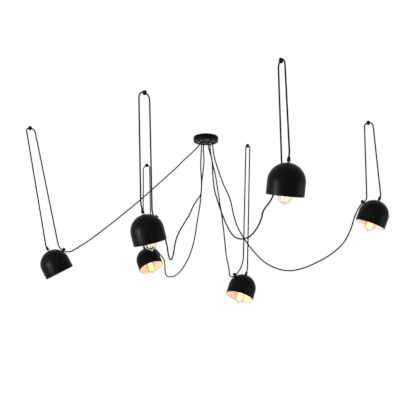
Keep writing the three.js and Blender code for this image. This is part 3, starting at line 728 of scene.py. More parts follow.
def cut(mesh, tools):
    """The mesh less each of the tool meshes, with its corners kept crisp."""
    piece = shown("cut", mesh)
    cutters = [shown("cutter", tool) for tool in tools]
    for cutter in cutters:
        modifier = piece.modifiers.new("cut", "BOOLEAN")
        modifier.operation = "DIFFERENCE"
        modifier.solver = "EXACT"
        modifier.object = cutter
    result = taken(piece)
    for cutter in cutters:
        bpy.data.objects.remove(cutter)
    crisp(result)
    return result


def block(low, high, material):
    """A box between two corners."""
    corners = [
        (x, y, z) for z in (low[2], high[2]) for y in (low[1], high[1]) for x in (low[0], high[0])
    ]
    faces = [(0, 2, 3, 1), (4, 5, 7, 6), (0, 1, 5, 4), (2, 6, 7, 3), (0, 4, 6, 2), (1, 3, 7, 5)]
    return mesh_from("block", corners, faces, material)


def rod(radius, length, material, segments=32):
    """A plain round bar about Z, centred on the origin, for cutting with."""
    profile = [(0, -length / 2), (radius, -length / 2), (radius, length / 2), (0, length / 2)]
    return turned("rod", profile, material, segments)


def moved(mesh, matrix):
    copy = mesh.copy()
    copy.transform(matrix)
    return copy


def put(name, mesh, place, body, stands_for=()):
    """A copy of the mesh at its place in the row frame, riding on a body."""
    copy = moved(mesh, place)
    copy.name = name
    piece = shown(name, copy)
    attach(piece, body)
    if stands_for:
        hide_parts(*stands_for)
    return piece


# Geometry node trees


def grown(name, mesh, tree, values):
    """The mesh after a geometry node tree, with the tree's named inputs set."""
    piece = shown(name, mesh)
    modifier = piece.modifiers.new("nodes", "NODES")
    modifier.node_group = tree
    for item in tree.interface.items_tree:
        if item.item_type == "SOCKET" and item.in_out == "INPUT" and item.name in values:
            modifier[item.identifier] = values[item.name]
    result = taken(piece)
    result.name = name
    crisp(result)
    return result


def geometry_tree(name, inputs):
    """An empty tree with a geometry input and output and other named inputs."""
    group = bpy.data.node_groups.new(name, "GeometryNodeTree")
    group.interface.new_socket("Geometry", in_out="INPUT", socket_type="NodeSocketGeometry")
    for label, kind in inputs.items():
        group.interface.new_socket(label, in_out="INPUT", socket_type=f"NodeSocket{kind}")
    group.interface.new_socket("Geometry", in_out="OUTPUT", socket_type="NodeSocketGeometry")
    tree = Tree(group)
    return tree, tree.add("NodeGroupInput")


def close_tree(tree, given, geometry):
    """Ends a tree in real, finished geometry."""
    real = tree.add("GeometryNodeRealizeInstances", None, {"Geometry": geometry})[0]
    finished = tree.add(
        "GeometryNodeSetMaterial", None, {"Geometry": real, "Material": given["Material"]}
    )[0]
    tree.add("NodeGroupOutput", None, {"Geometry": finished})
    return tree.nodes


def tube_tree():
    """A round tube with closed ends along a line of edges."""
    name = "tube along a line"
    if name in bpy.data.node_groups:
        return bpy.data.node_groups[name]
    tree, given = geometry_tree(name, {"Radius": "Float", "Sides": "Int", "Material": "Material"})
    line = tree.add("GeometryNodeMeshToCurve", None, {"Mesh": given["Geometry"]})[0]
    section = tree.add(
        "GeometryNodeCurvePrimitiveCircle",
        {"mode": "RADIUS"},
        {"Resolution": given["Sides"], "Radius": given["Radius"]},
    )[0]
    tube = tree.add(
        "GeometryNodeCurveToMesh",
        None,
        {"Curve": line, "Profile Curve": section, "Fill Caps": True},
    )[0]
    return close_tree(tree, given, tube)


def ring_tree():
    """Copies of a mesh round a ring, each turned to face out."""
    name = "copies round a ring"
    if name in bpy.data.node_groups:
        return bpy.data.node_groups[name]
    sockets = {"Count": "Int", "Radius": "Float", "First angle": "Float", "Material": "Material"}
    tree, given = geometry_tree(name, sockets)
    ring = tree.add(
        "GeometryNodeMeshCircle", None, {"Vertices": given["Count"], "Radius": given["Radius"]}
    )[0]
    turn = tree.add("ShaderNodeCombineXYZ", None, {"Z": given["First angle"]})[0]
    ring = tree.add("GeometryNodeTransform", None, {"Geometry": ring, "Rotation": turn})[0]
    place = tree.add("GeometryNodeInputPosition")[0]
    facing = tree.add("FunctionNodeAlignRotationToVector", {"axis": "X"}, {"Vector": place})[0]
    copies = tree.add(
        "GeometryNodeInstanceOnPoints",
        None,
        {"Points": ring, "Instance": given["Geometry"], "Rotation": facing},
    )[0]
    return close_tree(tree, given, copies)


def tube(name, path, diameter, material, sides=16):
    """A tube mesh along a path of points."""
    line = bpy.data.meshes.new(name)
    line.from_pydata([tuple(point) for point in path], [(i, i + 1) for i in range(len(path) - 1)], [])
    values = {"Radius": diameter / 2, "Sides": sides, "Material": material}
    return grown(name, line, tube_tree(), values)


def ring_of(name, mesh, count, radius, material, first_angle=0.0):
    """Copies of a mesh round Z."""
    values = {
        "Count": count, "Radius": radius, "First angle": first_angle, "Material": material
    }
    return grown(name, mesh, ring_tree(), values)


# Where things hang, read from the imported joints


class Lamp:
    """A lamp's places: on its hook, in its own frame and in its clamp's."""

    def __init__(self, number):
        sizes = settings()
        joints = {joint["name"]: joint for joint in frame["joints"]}
        swing = joints[f"lamp_{number}_swing"]
        turn = joints[f"clamp_{number}_knob_turn"]
        facing = Vector(swing["axis"]).normalized()
        side = UP.cross(facing)
        hook = Vector((swing["pos_m"][0], swing["pos_m"][1], 0))
        normal = Vector(turn["axis"]).normalized()
        foot = Vector(turn["pos_m"])
        polar = sizes.clamp.polar_angle
        tilt = polar - math.atan2(normal.dot(facing), normal.z)
        axis = facing * -math.sin(tilt) + UP * math.cos(tilt)
        across = facing * math.cos(tilt) + UP * math.sin(tilt)
        radius = sizes.shade.diameter / 2
        centre_level = lamp_levels()["dome_centre"]
        top = (
            foot
            - across * (radius * math.sin(polar))
            - axis * (centre_level + radius * math.cos(polar))
        )
        self.number = number
        self.body = f"lamp_{number}"
        self.knob_body = f"knob_{number}"
        self.hook = place(facing, side, UP, hook)
        self.lamp = place(across, side, axis, top)
        self.clamp = place(side.cross(normal), side, normal, foot)

    def in_hook(self, point):
        return self.hook.inverted() @ point


def place(x, y, z, origin):
    """The matrix of a frame from its axes and its origin."""
    matrix = Matrix((x, y, z)).transposed().to_4x4()
    matrix.translation = origin
    return matrix


def lamp_levels():
    """Heights in a lamp's own frame, whose origin is the top of the apex grip."""
    sizes = settings()
    grip, holder, bulb = sizes.grip, sizes.holder, sizes.bulb
    levels = {"grip_foot": -(grip.height + grip.nut_height)}
    levels["apex"] = levels["grip_foot"] - FIT_GAP
    levels["dome_centre"] = levels["apex"] - sizes.shade.diameter / 2
    levels["rim"] = levels["apex"] - sizes.shade.height
    levels["neck_top"] = levels["grip_foot"] + grip.socket_depth - FIT_GAP
    levels["holder_top"] = levels["apex"] - sizes.shade.wall - 2 * FIT_GAP
    levels["holder_mouth"] = levels["holder_top"] - holder.length
    levels["bulb_top"] = levels["holder_mouth"] + holder.socket_depth - FIT_GAP
    levels["bulb_neck"] = levels["bulb_top"] - bulb.cap_length
    return levels


def outlet_place(index):
    canopy = settings().canopy
    angle = canopy.first_angle + index * 2 * math.pi / canopy.outlets
    radius = canopy.outlet_ring / 2
    return Vector((radius * math.cos(angle), radius * math.sin(angle), 0))


def outlet_mouth_level():
    canopy = settings().canopy
    return -(canopy.height + canopy.nut_height + canopy.grip_height)


# Cords


def rounded_run(corners, radii, turn_step=math.radians(4)):
    """Points along straight runs, with each inner corner rounded to its own radius."""
    points = [corners[0]]
    for index, radius in enumerate(radii, start=1):
        corner = corners[index]
        before = (corner - corners[index - 1]).normalized()
        after = (corners[index + 1] - corner).normalized()
        turn = before.angle(after)
        start = corner - before * (radius * math.tan(turn / 2))
        axis = before.cross(after).normalized()
        centre = start + axis.cross(before) * radius
        steps = max(2, math.ceil(turn / turn_step))
        for step in range(steps + 1):
            spin = Matrix.Rotation(turn * step / steps, 3, axis)
            points.append(centre + spin @ (start - centre))
    return points + [corners[-1]]


def arch_corner(point, half, radius):
    """Where the line up from a point, touching one half of the arch, meets the crown's level.

    Both places are in the hook's frame. half is 1 for the clamp's side and -1 for the grip's.
    """
    crown = -settings().hook.crown_depth
    to_centre = Vector((half * settings().cord.arch_flat / 2, 0, crown - radius)) - point
    lean = math.atan2(to_centre.x, to_centre.z)
    aside = math.asin(radius / to_centre.length)
    rise = crown - point.z
    return Vector((point.x + rise * math.tan(lean + half * aside), 0, crown))


def bend_corner(mouth, way_out, radius, half, arch_radius, rounds=6):
    """The corner of the bend above a fitting, whose arc starts one lead past the fitting's mouth.

    The arc and the way up depend on each other, so they are worked out in rounds.
    """
    lead = settings().cord.lead
    corner = mouth + way_out * lead
    for _ in range(rounds):
        way_up = arch_corner(corner, half, arch_radius) - corner
        corner = mouth + way_out * (lead + radius * math.tan(way_out.angle(way_up) / 2))
    return corner


def loop_path(lamp):
    """Through the clamp, up, over the hook and down to the apex grip."""
    cord, clamp = settings().cord, settings().clamp
    half_post = clamp.post_diameter / 2
    radii = [share * cord.bend_radius for share in LOOP_BEND_SHARES[lamp.number]]
    clamp_radius, clamp_arch, grip_arch, grip_radius = radii

    def in_clamp(x):
        return lamp.in_hook(lamp.clamp @ Vector((x, 0, clamp.cord_height)))

    def in_grip(z):
        return lamp.in_hook(lamp.lamp @ Vector((0, 0, z)))

    mouth, top = in_clamp(-half_post), in_grip(0)
    out_of_clamp = (mouth - in_clamp(0)).normalized()
    out_of_grip = (in_grip(half_post) - top).normalized()
    clamp_bend = bend_corner(mouth, out_of_clamp, clamp_radius, 1, clamp_arch)
    grip_bend = bend_corner(top, out_of_grip, grip_radius, -1, grip_arch)
    corners = [
        in_clamp(half_post),
        clamp_bend,
        arch_corner(clamp_bend, 1, clamp_arch),
        arch_corner(grip_bend, -1, grip_arch),
        grip_bend,
        in_grip(FIT_GAP),
    ]
    return [lamp.hook @ point for point in rounded_run(corners, radii)]


def smooth_path(points, step=0.006):
    """A centripetal Catmull-Rom curve through the points."""
    ends = [2 * points[0] - points[1], *points, 2 * points[-1] - points[-2]]
    out = [points[0]]
    for p0, p1, p2, p3 in zip(ends, ends[1:], ends[2:], ends[3:]):
        t0, t1, t2 = (math.sqrt((b - a).length) for a, b in ((p0, p1), (p1, p2), (p2, p3)))
        m1 = ((p1 - p0) / t0 - (p2 - p0) / (t0 + t1) + (p2 - p1) / t1) * t1
        m2 = ((p2 - p1) / t1 - (p3 - p1) / (t1 + t2) + (p3 - p2) / t2) * t1
        count = max(2, math.ceil((p2 - p1).length / step))
        for index in range(1, count + 1):
            s = index / count
            out.append(
                p1 * (2 * s**3 - 3 * s**2 + 1)
                + m1 * (s**3 - 2 * s**2 + s)
                + p2 * (3 * s**2 - 2 * s**3)
                + m2 * (s**3 - s**2)
            )
    return out


def supply_path(lamp):
    """Straight down out of the outlet, along the slack route and straight into the clamp."""
    sizes = settings()
    outlet, route = SUPPLY_ROUTES[lamp.number]
    exit_point = outlet_place(outlet)
    exit_point.z = outlet_mouth_level() - FIT_GAP

    def into_clamp(x):
        return lamp.clamp @ Vector((x, 0, sizes.clamp.cord_height))

    entry_x = sizes.clamp.post_diameter / 2 + FIT_GAP
    entry = into_clamp(entry_x)
    heading = Vector((entry.x - exit_point.x, entry.y - exit_point.y, 0)).normalized()
    left = UP.cross(heading)
    slack = []
    for along, height, *aside in route:
        point = exit_point + along * heading + sum(aside) * left
        point.z = height
        slack.append(point)
    lead = sizes.cord.lead
    return smooth_path([exit_point, exit_point - UP * lead, *slack, into_clamp(entry_x + lead), entry])


def path_length(path):
    return sum((b - a).length for a, b in zip(path, path[1:]))


class CHANDELIER_OT_cords(Operator):
    """Six slack supply cords and the six loops that carry the lamps"""

    bl_idname = "chandelier.cords"
    bl_label = "Cords"

    def execute(self, context):
        cord = settings().cord
        material = cable()
        for number in LAMP_NUMBERS:
            lamp = Lamp(number)
            loop = loop_path(lamp)
            mesh = tube("loop cord", loop, cord.diameter, material, cord.sides)
            node = f"loop_cord_{number}"
            name = f"loop_cable_{number}"
            piece = put(name, mesh, Matrix(), lamp.body, [node])
            self.declare(piece, loop, "taut")

            supply = supply_path(lamp)
            mesh = tube("supply cord", supply, cord.diameter, material, cord.sides)
            piece = shown(f"supply_cable_{number}", mesh)
            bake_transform(piece)
            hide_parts(f"supply_cord_{number}")
            self.declare(piece, supply, "hanging")
        return {"FINISHED"}

    def declare(self, piece, path, lay):
        path_length(path)


# Canopy


class CHANDELIER_OT_canopy(Operator):
    """Canopy cover with its outlets, bracket, terminal block, wires and screws"""

    bl_idname = "chandelier.canopy"
    bl_label = "Canopy"

    # Outlets: their rounded edges, the seat of the cord in a grip and the share of a grip that tapers.
    outlet_edge = 0.0008
    cord_seat = 0.001
    taper_share = 0.55

    # Terminal block: its ways, half of each as a share of their pitch, the strip over them and how
    # far that stays inside their ends, and the tunnels through them.
    ways = 6
    half_way_share = 0.42
    strip_height = 0.003
    strip_inset = 0.003
    tunnel_radius = 0.0019
    tunnel_excess = 0.004

    # Terminal screws: their heads, how far apart and how far up they sit, and their slots.
    terminal_screw = [(0, -0.002), (0.002, -0.002), (0.002, 0.0004), (0, 0.0004)]
    terminal_screw_edge = 0.0003
    terminal_screw_aside = 0.0055
    terminal_screw_rise = 0.0015
    terminal_slot = ((-0.003, -0.0003, -0.0032), (0.003, 0.0003, -0.0015))

    # Wires: the cord ends they come out of, their spacing and size, and their way to the block.
    outlets_by_side = {1: (3, 2, 1), -1: (4, 5, 0)}
    core_tints = {"brown": (0.10, 0.035, 0.012), "blue": (0.012, 0.05, 0.25)}
    stub_height = 0.005
    core_pitch = 0.0024
    wire_diameter = 0.002
    wire_rise = 0.004
    wire_crossing = 0.45
    wire_hump = 0.001
    wire_lead = 0.005
    wire_entry = 0.002
    wire_step = 0.002

    # Cover screws: shank, head and cross recess.
    shank_radius = 0.002
    shank_end_radius = 0.0014
    shank_taper = 0.0008
    head_height = 0.0024
    head_rim = 0.001
    head_dome_share = 0.55
    head_edge = 0.0004
    recess_length = 0.009
    recess_width = 0.001
    recess_depth = 0.001

    def execute(self, context):
        self.cover()
        self.outlets()
        self.bracket()
        self.terminal_block()
        self.wires()
        self.cover_screws()
        return {"FINISHED"}

    def cover(self):
        canopy = settings().canopy
        radius, wall = canopy.diameter / 2, canopy.wall
        foot = -canopy.height
        outer = [(0, foot), (radius, foot), (radius, -canopy.ceiling_gap)]
        inner = [(radius - wall, -canopy.ceiling_gap), (radius - wall, foot + wall), (0, foot + wall)]
        outer = softened([*outer, inner[0]], canopy.edge, steps=8)[:-1]
        inner = softened([outer[-1], *inner], canopy.edge - wall, steps=6)[1:]
        mesh = turned("cover", outer + inner, black_paint(), segments=128)
        put("canopy_cup", mesh, Matrix(), ROOT, ["canopy_cover"])

    def outlets(self):
        canopy = settings().canopy
        pale = nylon()
        foot = -canopy.height
        nut_foot = foot - canopy.nut_height
        mouth = outlet_mouth_level()
        nut_radius = canopy.nut_diameter / 2
        grip_radius = canopy.grip_diameter / 2
        tip_radius = canopy.grip_tip / 2
        cord_radius = settings().cord.diameter / 2
        nut = turned(
            "nut",
            softened(
                [(0, nut_foot), (nut_radius, nut_foot), (nut_radius, foot), (0, foot)],
                self.outlet_edge,
            ),
            pale,
            segments=24,
        )
        grip_profile = [
            (0, mouth + self.cord_seat),
            (cord_radius, mouth + self.cord_seat),
            (cord_radius, mouth),
            (tip_radius, mouth),
            (grip_radius, mouth + self.taper_share * canopy.grip_height),
            (grip_radius, nut_foot),
            (0, nut_foot),
        ]
        grip_profile = softened(grip_profile, self.outlet_edge)
        grip = turned("grip", grip_profile, black_plastic(), segments=24)
        placed = [
            ("outlet_nuts", nut, pale, "white_plastic"),
            ("outlet_grips", grip, black_plastic(), "black_plastic"),
        ]
        for name, mesh, material, slot in placed:
            ring = ring_of(
                name, mesh, canopy.outlets, canopy.outlet_ring / 2, material, canopy.first_angle
            )
            put(name, ring, Matrix(), ROOT)

    def bracket(self):
        node = frame["nodes"]["ceiling_bracket"]
        node.data.materials.clear()
        node.data.materials.append(zinc())

    def terminal_block(self):
        low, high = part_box("terminal_block")
        pitch = (high.x - low.x) / self.ways
        housing, screws = [], []
        ivory = ivory_plastic()
        brass = metal("pale brass", settings().finish.brass, 0.22)
        middle = (low.z + high.z) / 2
        strip_foot = high.z - self.strip_height
        tunnel = moved(
            rod(self.tunnel_radius, high.y - low.y + self.tunnel_excess, ivory),
            Matrix.Rotation(math.pi / 2, 4, "X"),
        )
        screw = turned(
            "terminal screw",
            softened(self.terminal_screw, self.terminal_screw_edge),
            brass,
            segments=20,
        )
        screw = cut(screw, [block(*self.terminal_slot, brass)])
        for way in range(self.ways):
            x = low.x + (way + 0.5) * pitch
            half = self.half_way_share * pitch
            body = block((x - half, low.y, low.z), (x + half, high.y, strip_foot), ivory)
            housing.append(cut(body, [moved(tunnel, Matrix.Translation((x, 0, middle)))]))
            for side in (-1, 1):
                seat = (x, side * self.terminal_screw_aside, low.z + self.terminal_screw_rise)
                screws.append(moved(screw, Matrix.Translation(seat)))
        inset = self.strip_inset
        housing.append(
            block((low.x, low.y + inset, strip_foot), (high.x, high.y - inset, high.z), ivory)
        )
        mesh = joined("housing", housing)
        put("terminal_housing", mesh, Matrix(), ROOT, ["terminal_block"])
        put("terminal_screws", joined("screws", screws), Matrix(), ROOT)

    def wires(self):
        """Two wires from each outlet's cord end to the terminal block's ways."""
        canopy = settings().canopy
        low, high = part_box("terminal_block")
        pitch = (high.x - low.x) / self.ways
        floor_level = -canopy.height + canopy.wall
        stubs = []
        cores = {name: [] for name in self.core_tints}
        for side, outlets in self.outlets_by_side.items():
            face = high.y if side > 0 else low.y
            by_x = sorted(outlets, key=lambda index: outlet_place(index).x)
            for group, index in enumerate(by_x):
                foot = outlet_place(index)
                foot.z = floor_level + FIT_GAP
                stub_top = foot + UP * self.stub_height
                stubs.append(tube("stub", [foot, stub_top], settings().cord.diameter, cable()))
                for core, (name, wires) in enumerate(cores.items()):
                    shift = (core - 0.5) * self.core_pitch
                    start = stub_top + Vector((shift, 0, 0))
                    x = low.x + (2 * group + core + 0.5) * pitch
                    path = self.wire_path(start, x, face, side, (low.z + high.z) / 2)
                    sheath = wire_sheath(f"{name} wire", self.core_tints[name])
                    wires.append(tube("wire", path, self.wire_diameter, sheath, sides=10))
        put("outlet_cable_ends", joined("stubs", stubs), Matrix(), ROOT)
        for name, wires in cores.items():
            put(f"{name}_wires", joined("wires", wires), Matrix(), ROOT)

    def wire_path(self, start, x, face, side, level):
        """Up out of a cord end, over to the block's face on one side and into its way."""
        over = self.wire_crossing
        middle = Vector((
            0.5 * (start.x + x), (1 - over) * start.y + over * face, level + self.wire_hump
        ))
        points = [
            start,
            start + UP * self.wire_rise,
            middle,
            Vector((x, face + side * self.wire_lead, level)),
            Vector((x, face - side * self.wire_entry, level)),
        ]
        return smooth_path(points, self.wire_step)

    def cover_screws(self):
        paint = black_paint()
        low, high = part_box("cover_screw_right")
        head_radius = (high.z - low.z) / 2
        head_foot = high.x - self.head_height
        profile = [
            (0, low.x),
            (self.shank_end_radius, low.x),
            (self.shank_radius, low.x + self.shank_taper),
            (self.shank_radius, head_foot),
            (head_radius, head_foot),
            (head_radius, head_foot + self.head_rim),
            (self.head_dome_share * head_radius, high.x),
            (0, high.x),
        ]
        screw = turned("cover screw", softened(profile, self.head_edge), paint, segments=32)
        half_length, half_width = self.recess_length / 2, self.recess_width / 2
        slot = block(
            (-half_length, -half_width, high.x - self.recess_depth),
            (half_length, half_width, high.x + self.recess_depth),
            paint,
        )
        cross = moved(slot, Matrix.Rotation(math.pi / 2, 4, "Z"))
        screw = cut(screw, [slot, cross])
        for side, name in ((1, "right"), (-1, "left")):
            turn = Matrix.Rotation(side * math.pi / 2, 4, "Y")
            shift = Matrix.Translation((0, 0, (low.z + high.z) / 2))
            node = f"cover_screw_{name}"
            put(f"cross_screw_{name}", screw, shift @ turn, ROOT, [node])


# Ceiling hooks


class CHANDELIER_OT_hooks(Operator):
    """Round ceiling hooks, each with a channel for its cord's arch"""

    bl_idname = "chandelier.hooks"
    bl_label = "Ceiling hooks"

    # The rounded edges, and how far the nose's middle point stays from its corner, as its share.
    edge = 0.0012
    nose_share = 0.3

    def execute(self, context):
        hook, cord = settings().hook, settings().cord
        paint = black_paint()
        radius = hook.diameter / 2
        crown = -hook.crown_depth
        nose_step = self.nose_share * hook.nose
        profile = [
            (0, -hook.height),
            (radius - hook.nose, -hook.height),
            (radius - nose_step, nose_step - hook.height),
            (radius, hook.nose - hook.height),
            (radius, -hook.base / 2),
            (radius - hook.base / 2, 0),
            (0, 0),
        ]
        barrel = turned("hook", softened(profile, self.edge, 4), paint, segments=64)
        half = cord.diameter / 2 + hook.channel_clearance
        reach = hook.diameter
        channel = block((-reach, -half, -hook.height), (reach, half, -hook.base), paint)
        saddle_radius = cord.bend_radius - cord.diameter / 2 - FIT_GAP
        saddle = moved(
            rod(saddle_radius, 2 * reach, paint, segments=180),
            Matrix.Translation((0, 0, crown - cord.bend_radius))
            @ Matrix.Rotation(math.pi / 2, 4, "X"),
        )
        lip = crown - cord.diameter / 2 - FIT_GAP + hook.lip
        mouth = block((-reach, 0, lip), (reach, reach, -hook.base), paint)
        mesh = cut(barrel, [cut(channel, [saddle]), mouth])
        for number in LAMP_NUMBERS:
            lamp = Lamp(number)
            node = f"ceiling_hook_{number}"
            put(f"hook_knob_{number}", mesh, lamp.hook, ROOT, [node])
        return {"FINISHED"}


# Shades


class CHANDELIER_OT_shades(Operator):
    """Spun dome shades, black outside and lit white enamel inside"""

    bl_idname = "chandelier.shades"
    bl_label = "Shades"

    # Points along the dome and round the hem, and the height of the slope from the hem to the wall.
    arc_steps = 48
    hem_steps = 9
    hem_slope = 0.002

    def execute(self, context):
        shade, grip = settings().shade, settings().grip
        levels = lamp_levels()
        outer, inner = shade.diameter / 2, shade.diameter / 2 - shade.wall
        hole = grip.neck_diameter / 2 + FIT_GAP
        rim, hem_top = levels["rim"], levels["rim"] + shade.hem_height
        hem_radius = shade.hem / 2
        profile = [
            (
                outer - hem_radius + hem_radius * math.cos(angle),
                rim + hem_radius + hem_radius * math.sin(angle),
            )
            for angle in np.linspace(-math.pi, 0, self.hem_steps)
        ]
        profile += self.arc(outer, math.pi / 2, math.asin(hole / outer), levels)
        black_to = len(profile)
        profile += self.arc(inner, math.asin(hole / inner), math.pi / 2, levels)
        profile += [(inner, hem_top + self.hem_slope), (outer - shade.hem, hem_top)]
        slots = [0 if index < black_to else 1 for index in range(len(profile))]
        mesh = turned(
            "shade", profile, [black_paint(), inner_paint()], 128, closed=True, slots=slots
        )
        for number in LAMP_NUMBERS:
            lamp = Lamp(number)
            name = f"spun_shade_{number}"
            put(name, mesh, lamp.lamp, lamp.body, [f"shade_{number}"])
        return {"FINISHED"}

    def arc(self, radius, start, end, levels):
        angles = np.linspace(start, end, self.arc_steps)
        centre = levels["dome_centre"]
        return [(radius * math.sin(a), centre + radius * math.cos(a)) for a in angles]


# Apex grips

# The bell's outline from its foot up, as shares of its flare past its tip and of its height.
BELL_OUTLINE_SHARES = [
    (0.6, 0.0),
    (1.0, 0.14),
    (0.97, 0.3),
    (0.82, 0.47),
    (0.6, 0.64),
    (0.35, 0.8),
    (0.08, 0.95),
]


class CHANDELIER_OT_grips(Operator):
    """Black bell grips on pale nuts, where the loops end at the shades' apexes"""

    bl_idname = "chandelier.grips"
    bl_label = "Apex grips"

    # The nut's round collar: its bore as a share of its radius, how far it stays inside the nut's two
    # faces, and its rounded edges.
    collar_bore_share = 0.84
    collar_foot_inset = 0.0004
    collar_top_inset = 0.0002
    collar_edge = 0.0005

    # The bell's rounded edges, the seat of the cord in it and its mouth as a share of its tip.
    bell_edge = 0.0006
    cord_seat = 0.001
    mouth_share = 0.8

    def execute(self, context):
        grip = settings().grip
        levels = lamp_levels()
        foot = levels["grip_foot"]
        bell_foot = foot + grip.nut_height
        cord_radius = settings().cord.diameter / 2
        socket = grip.neck_diameter / 2 + FIT_GAP
        socket_top = foot + grip.socket_depth
        nut_radius = grip.nut_diameter / 2
        radius, tip = grip.diameter / 2, grip.tip_diameter / 2
        nut_profile = [(socket, foot), (nut_radius, foot), (nut_radius, bell_foot), (socket, bell_foot)]
        pale = nylon()
        nut = turned("nut", nut_profile, pale, segments=6, closed=True)
        bore = nut_radius * self.collar_bore_share
        low, high = foot + self.collar_foot_inset, bell_foot - self.collar_top_inset
        collar_profile = [(bore, low), (nut_radius, low), (nut_radius, high), (bore, high)]
        collar_profile = softened(collar_profile, self.collar_edge)
        collar = turned("collar", collar_profile, pale, segments=48, closed=True)
        flare, height = radius - tip, -bell_foot
        bell_profile = [
            (0, socket_top),
            (socket, socket_top),
            (socket, bell_foot),
            *((tip + out * flare, bell_foot + up * height) for out, up in BELL_OUTLINE_SHARES),
            (self.mouth_share * tip, 0),
            (cord_radius, 0),
            (cord_radius, -self.cord_seat),
            (0, -self.cord_seat),
        ]
        bell_profile = softened(bell_profile, self.bell_edge)
        bell = turned("bell", bell_profile, black_plastic(), segments=48)
        for number in LAMP_NUMBERS:
            lamp = Lamp(number)
            pale_nut = joined("nut", [nut.copy(), collar.copy()])
            put(f"apex_nut_{number}", pale_nut, lamp.lamp, lamp.body)
            node = f"cord_grip_{number}"
            put(f"apex_bell_{number}", bell, lamp.lamp, lamp.body, [node])
        return {"FINISHED"}


# Lampholders


class CHANDELIER_OT_holders(Operator):
    """Ribbed black lampholders with their threaded necks"""

    bl_idname = "chandelier.holders"
    bl_label = "Lampholders"

    # The plain bands at both ends of the ribbed barrel, the step down to it, and its ribs.
    edge = 0.001
    band = 0.006
    band_step = 0.0008
    rib_height = 0.0006
    rib_root = 0.0005
    rib_end_gap = 0.0004
    # How far the rounded shoulder goes in, and how far up, before the collar.
    shoulder_in_share = 0.85
    shoulder_up_share = 0.5

    def execute(self, context):
        sizes = settings()
        holder, grip, bulb = sizes.holder, sizes.grip, sizes.bulb
        levels = lamp_levels()
        plastic = black_plastic()
        radius, collar = holder.diameter / 2, holder.collar / 2
        neck = grip.neck_diameter / 2
        socket = (bulb.cap_diameter + holder.socket_clearance) / 2
        mouth, top = levels["holder_mouth"], levels["holder_top"]
        socket_top = mouth + holder.socket_depth
        shoulder = top - holder.shoulder
        collar_level = top - holder.shoulder / 4
        core = radius - self.rib_height
        barrel_low = mouth + self.band + self.band_step
        barrel_high = shoulder - self.band
        profile = [
            (0, socket_top),
            (socket, socket_top),
            (socket, mouth),
            (radius, mouth),
            (radius, mouth + self.band),
            (core, barrel_low),
            (core, barrel_high),
            (radius, barrel_high + self.band_step),
            (radius, shoulder),
            (
                collar + self.shoulder_in_share * (radius - collar),
                shoulder + self.shoulder_up_share * (collar_level - shoulder),
            ),
            (collar, collar_level),
            (collar, top),
            (neck, top),
            (neck, levels["neck_top"]),
            (0, levels["neck_top"]),
        ]
        shell = turned("holder", softened(profile, self.edge), plastic, segments=72)
        rib = block(
            (-self.rib_root, -self.rib_height, barrel_low + self.rib_end_gap),
            (self.rib_height, self.rib_height, barrel_high - self.rib_end_gap),
            plastic,
        )
        ribs = ring_of("ribs", rib, holder.ribs, core, plastic)
        mesh = joined("holder", [shell, ribs])
        for number in LAMP_NUMBERS:
            lamp = Lamp(number)
            node = f"lampholder_{number}"
            put(f"ribbed_holder_{number}", mesh, lamp.lamp, lamp.body, [node])
        return {"FINISHED"}


# Bulbs

# The glass outlines from their tips to their necks, as shares of their radius and of their length.
BULB_OUTLINE_SHARES = [
    (0.0, 0.0),
    (0.08, 0.008),
    (0.11, 0.03),
    (0.14, 0.05),
    (0.32, 0.075),
    (0.55, 0.11),
    (0.74, 0.155),
    (0.88, 0.215),
    (0.97, 0.29),
    (1.0, 0.37),
    (0.975, 0.45),
    (0.91, 0.54),
    (0.81, 0.63),
    (0.69, 0.73),
    (0.57, 0.83),
    (0.47, 0.92),
    (0.42, 1.0),
]
ROUND_BULB_OUTLINE_SHARES = [
    (0.0, 0.0),
    (0.35, 0.02),
    (0.6, 0.08),
    (0.78, 0.16),
    (0.94, 0.29),
    (1.0, 0.44),
    (0.96, 0.58),
    (0.86, 0.72),
    (0.72, 0.85),
    (0.6, 0.95),
    (0.58, 1.0),
]
# The glass stem's outline from its tip to the bulb's neck, as radii and heights from the neck.
STEM_OUTLINE = [
    (0, -0.052),
    (0.0022, -0.052),
    (0.0028, -0.048),
    (0.0024, -0.040),
    (0.0024, -0.022),
    (0.0040, -0.014),
    (0.0095, -0.003),
    (0.0095, -0.002),
    (0, -0.002),
]
# The cap's narrow end, as shares of its core's radius and distances from its contact.
CAP_END_OUTLINE = [(1.0, 0.0065), (0.55, 0.003), (0.38, 0.0008), (0.3, 0.0)]


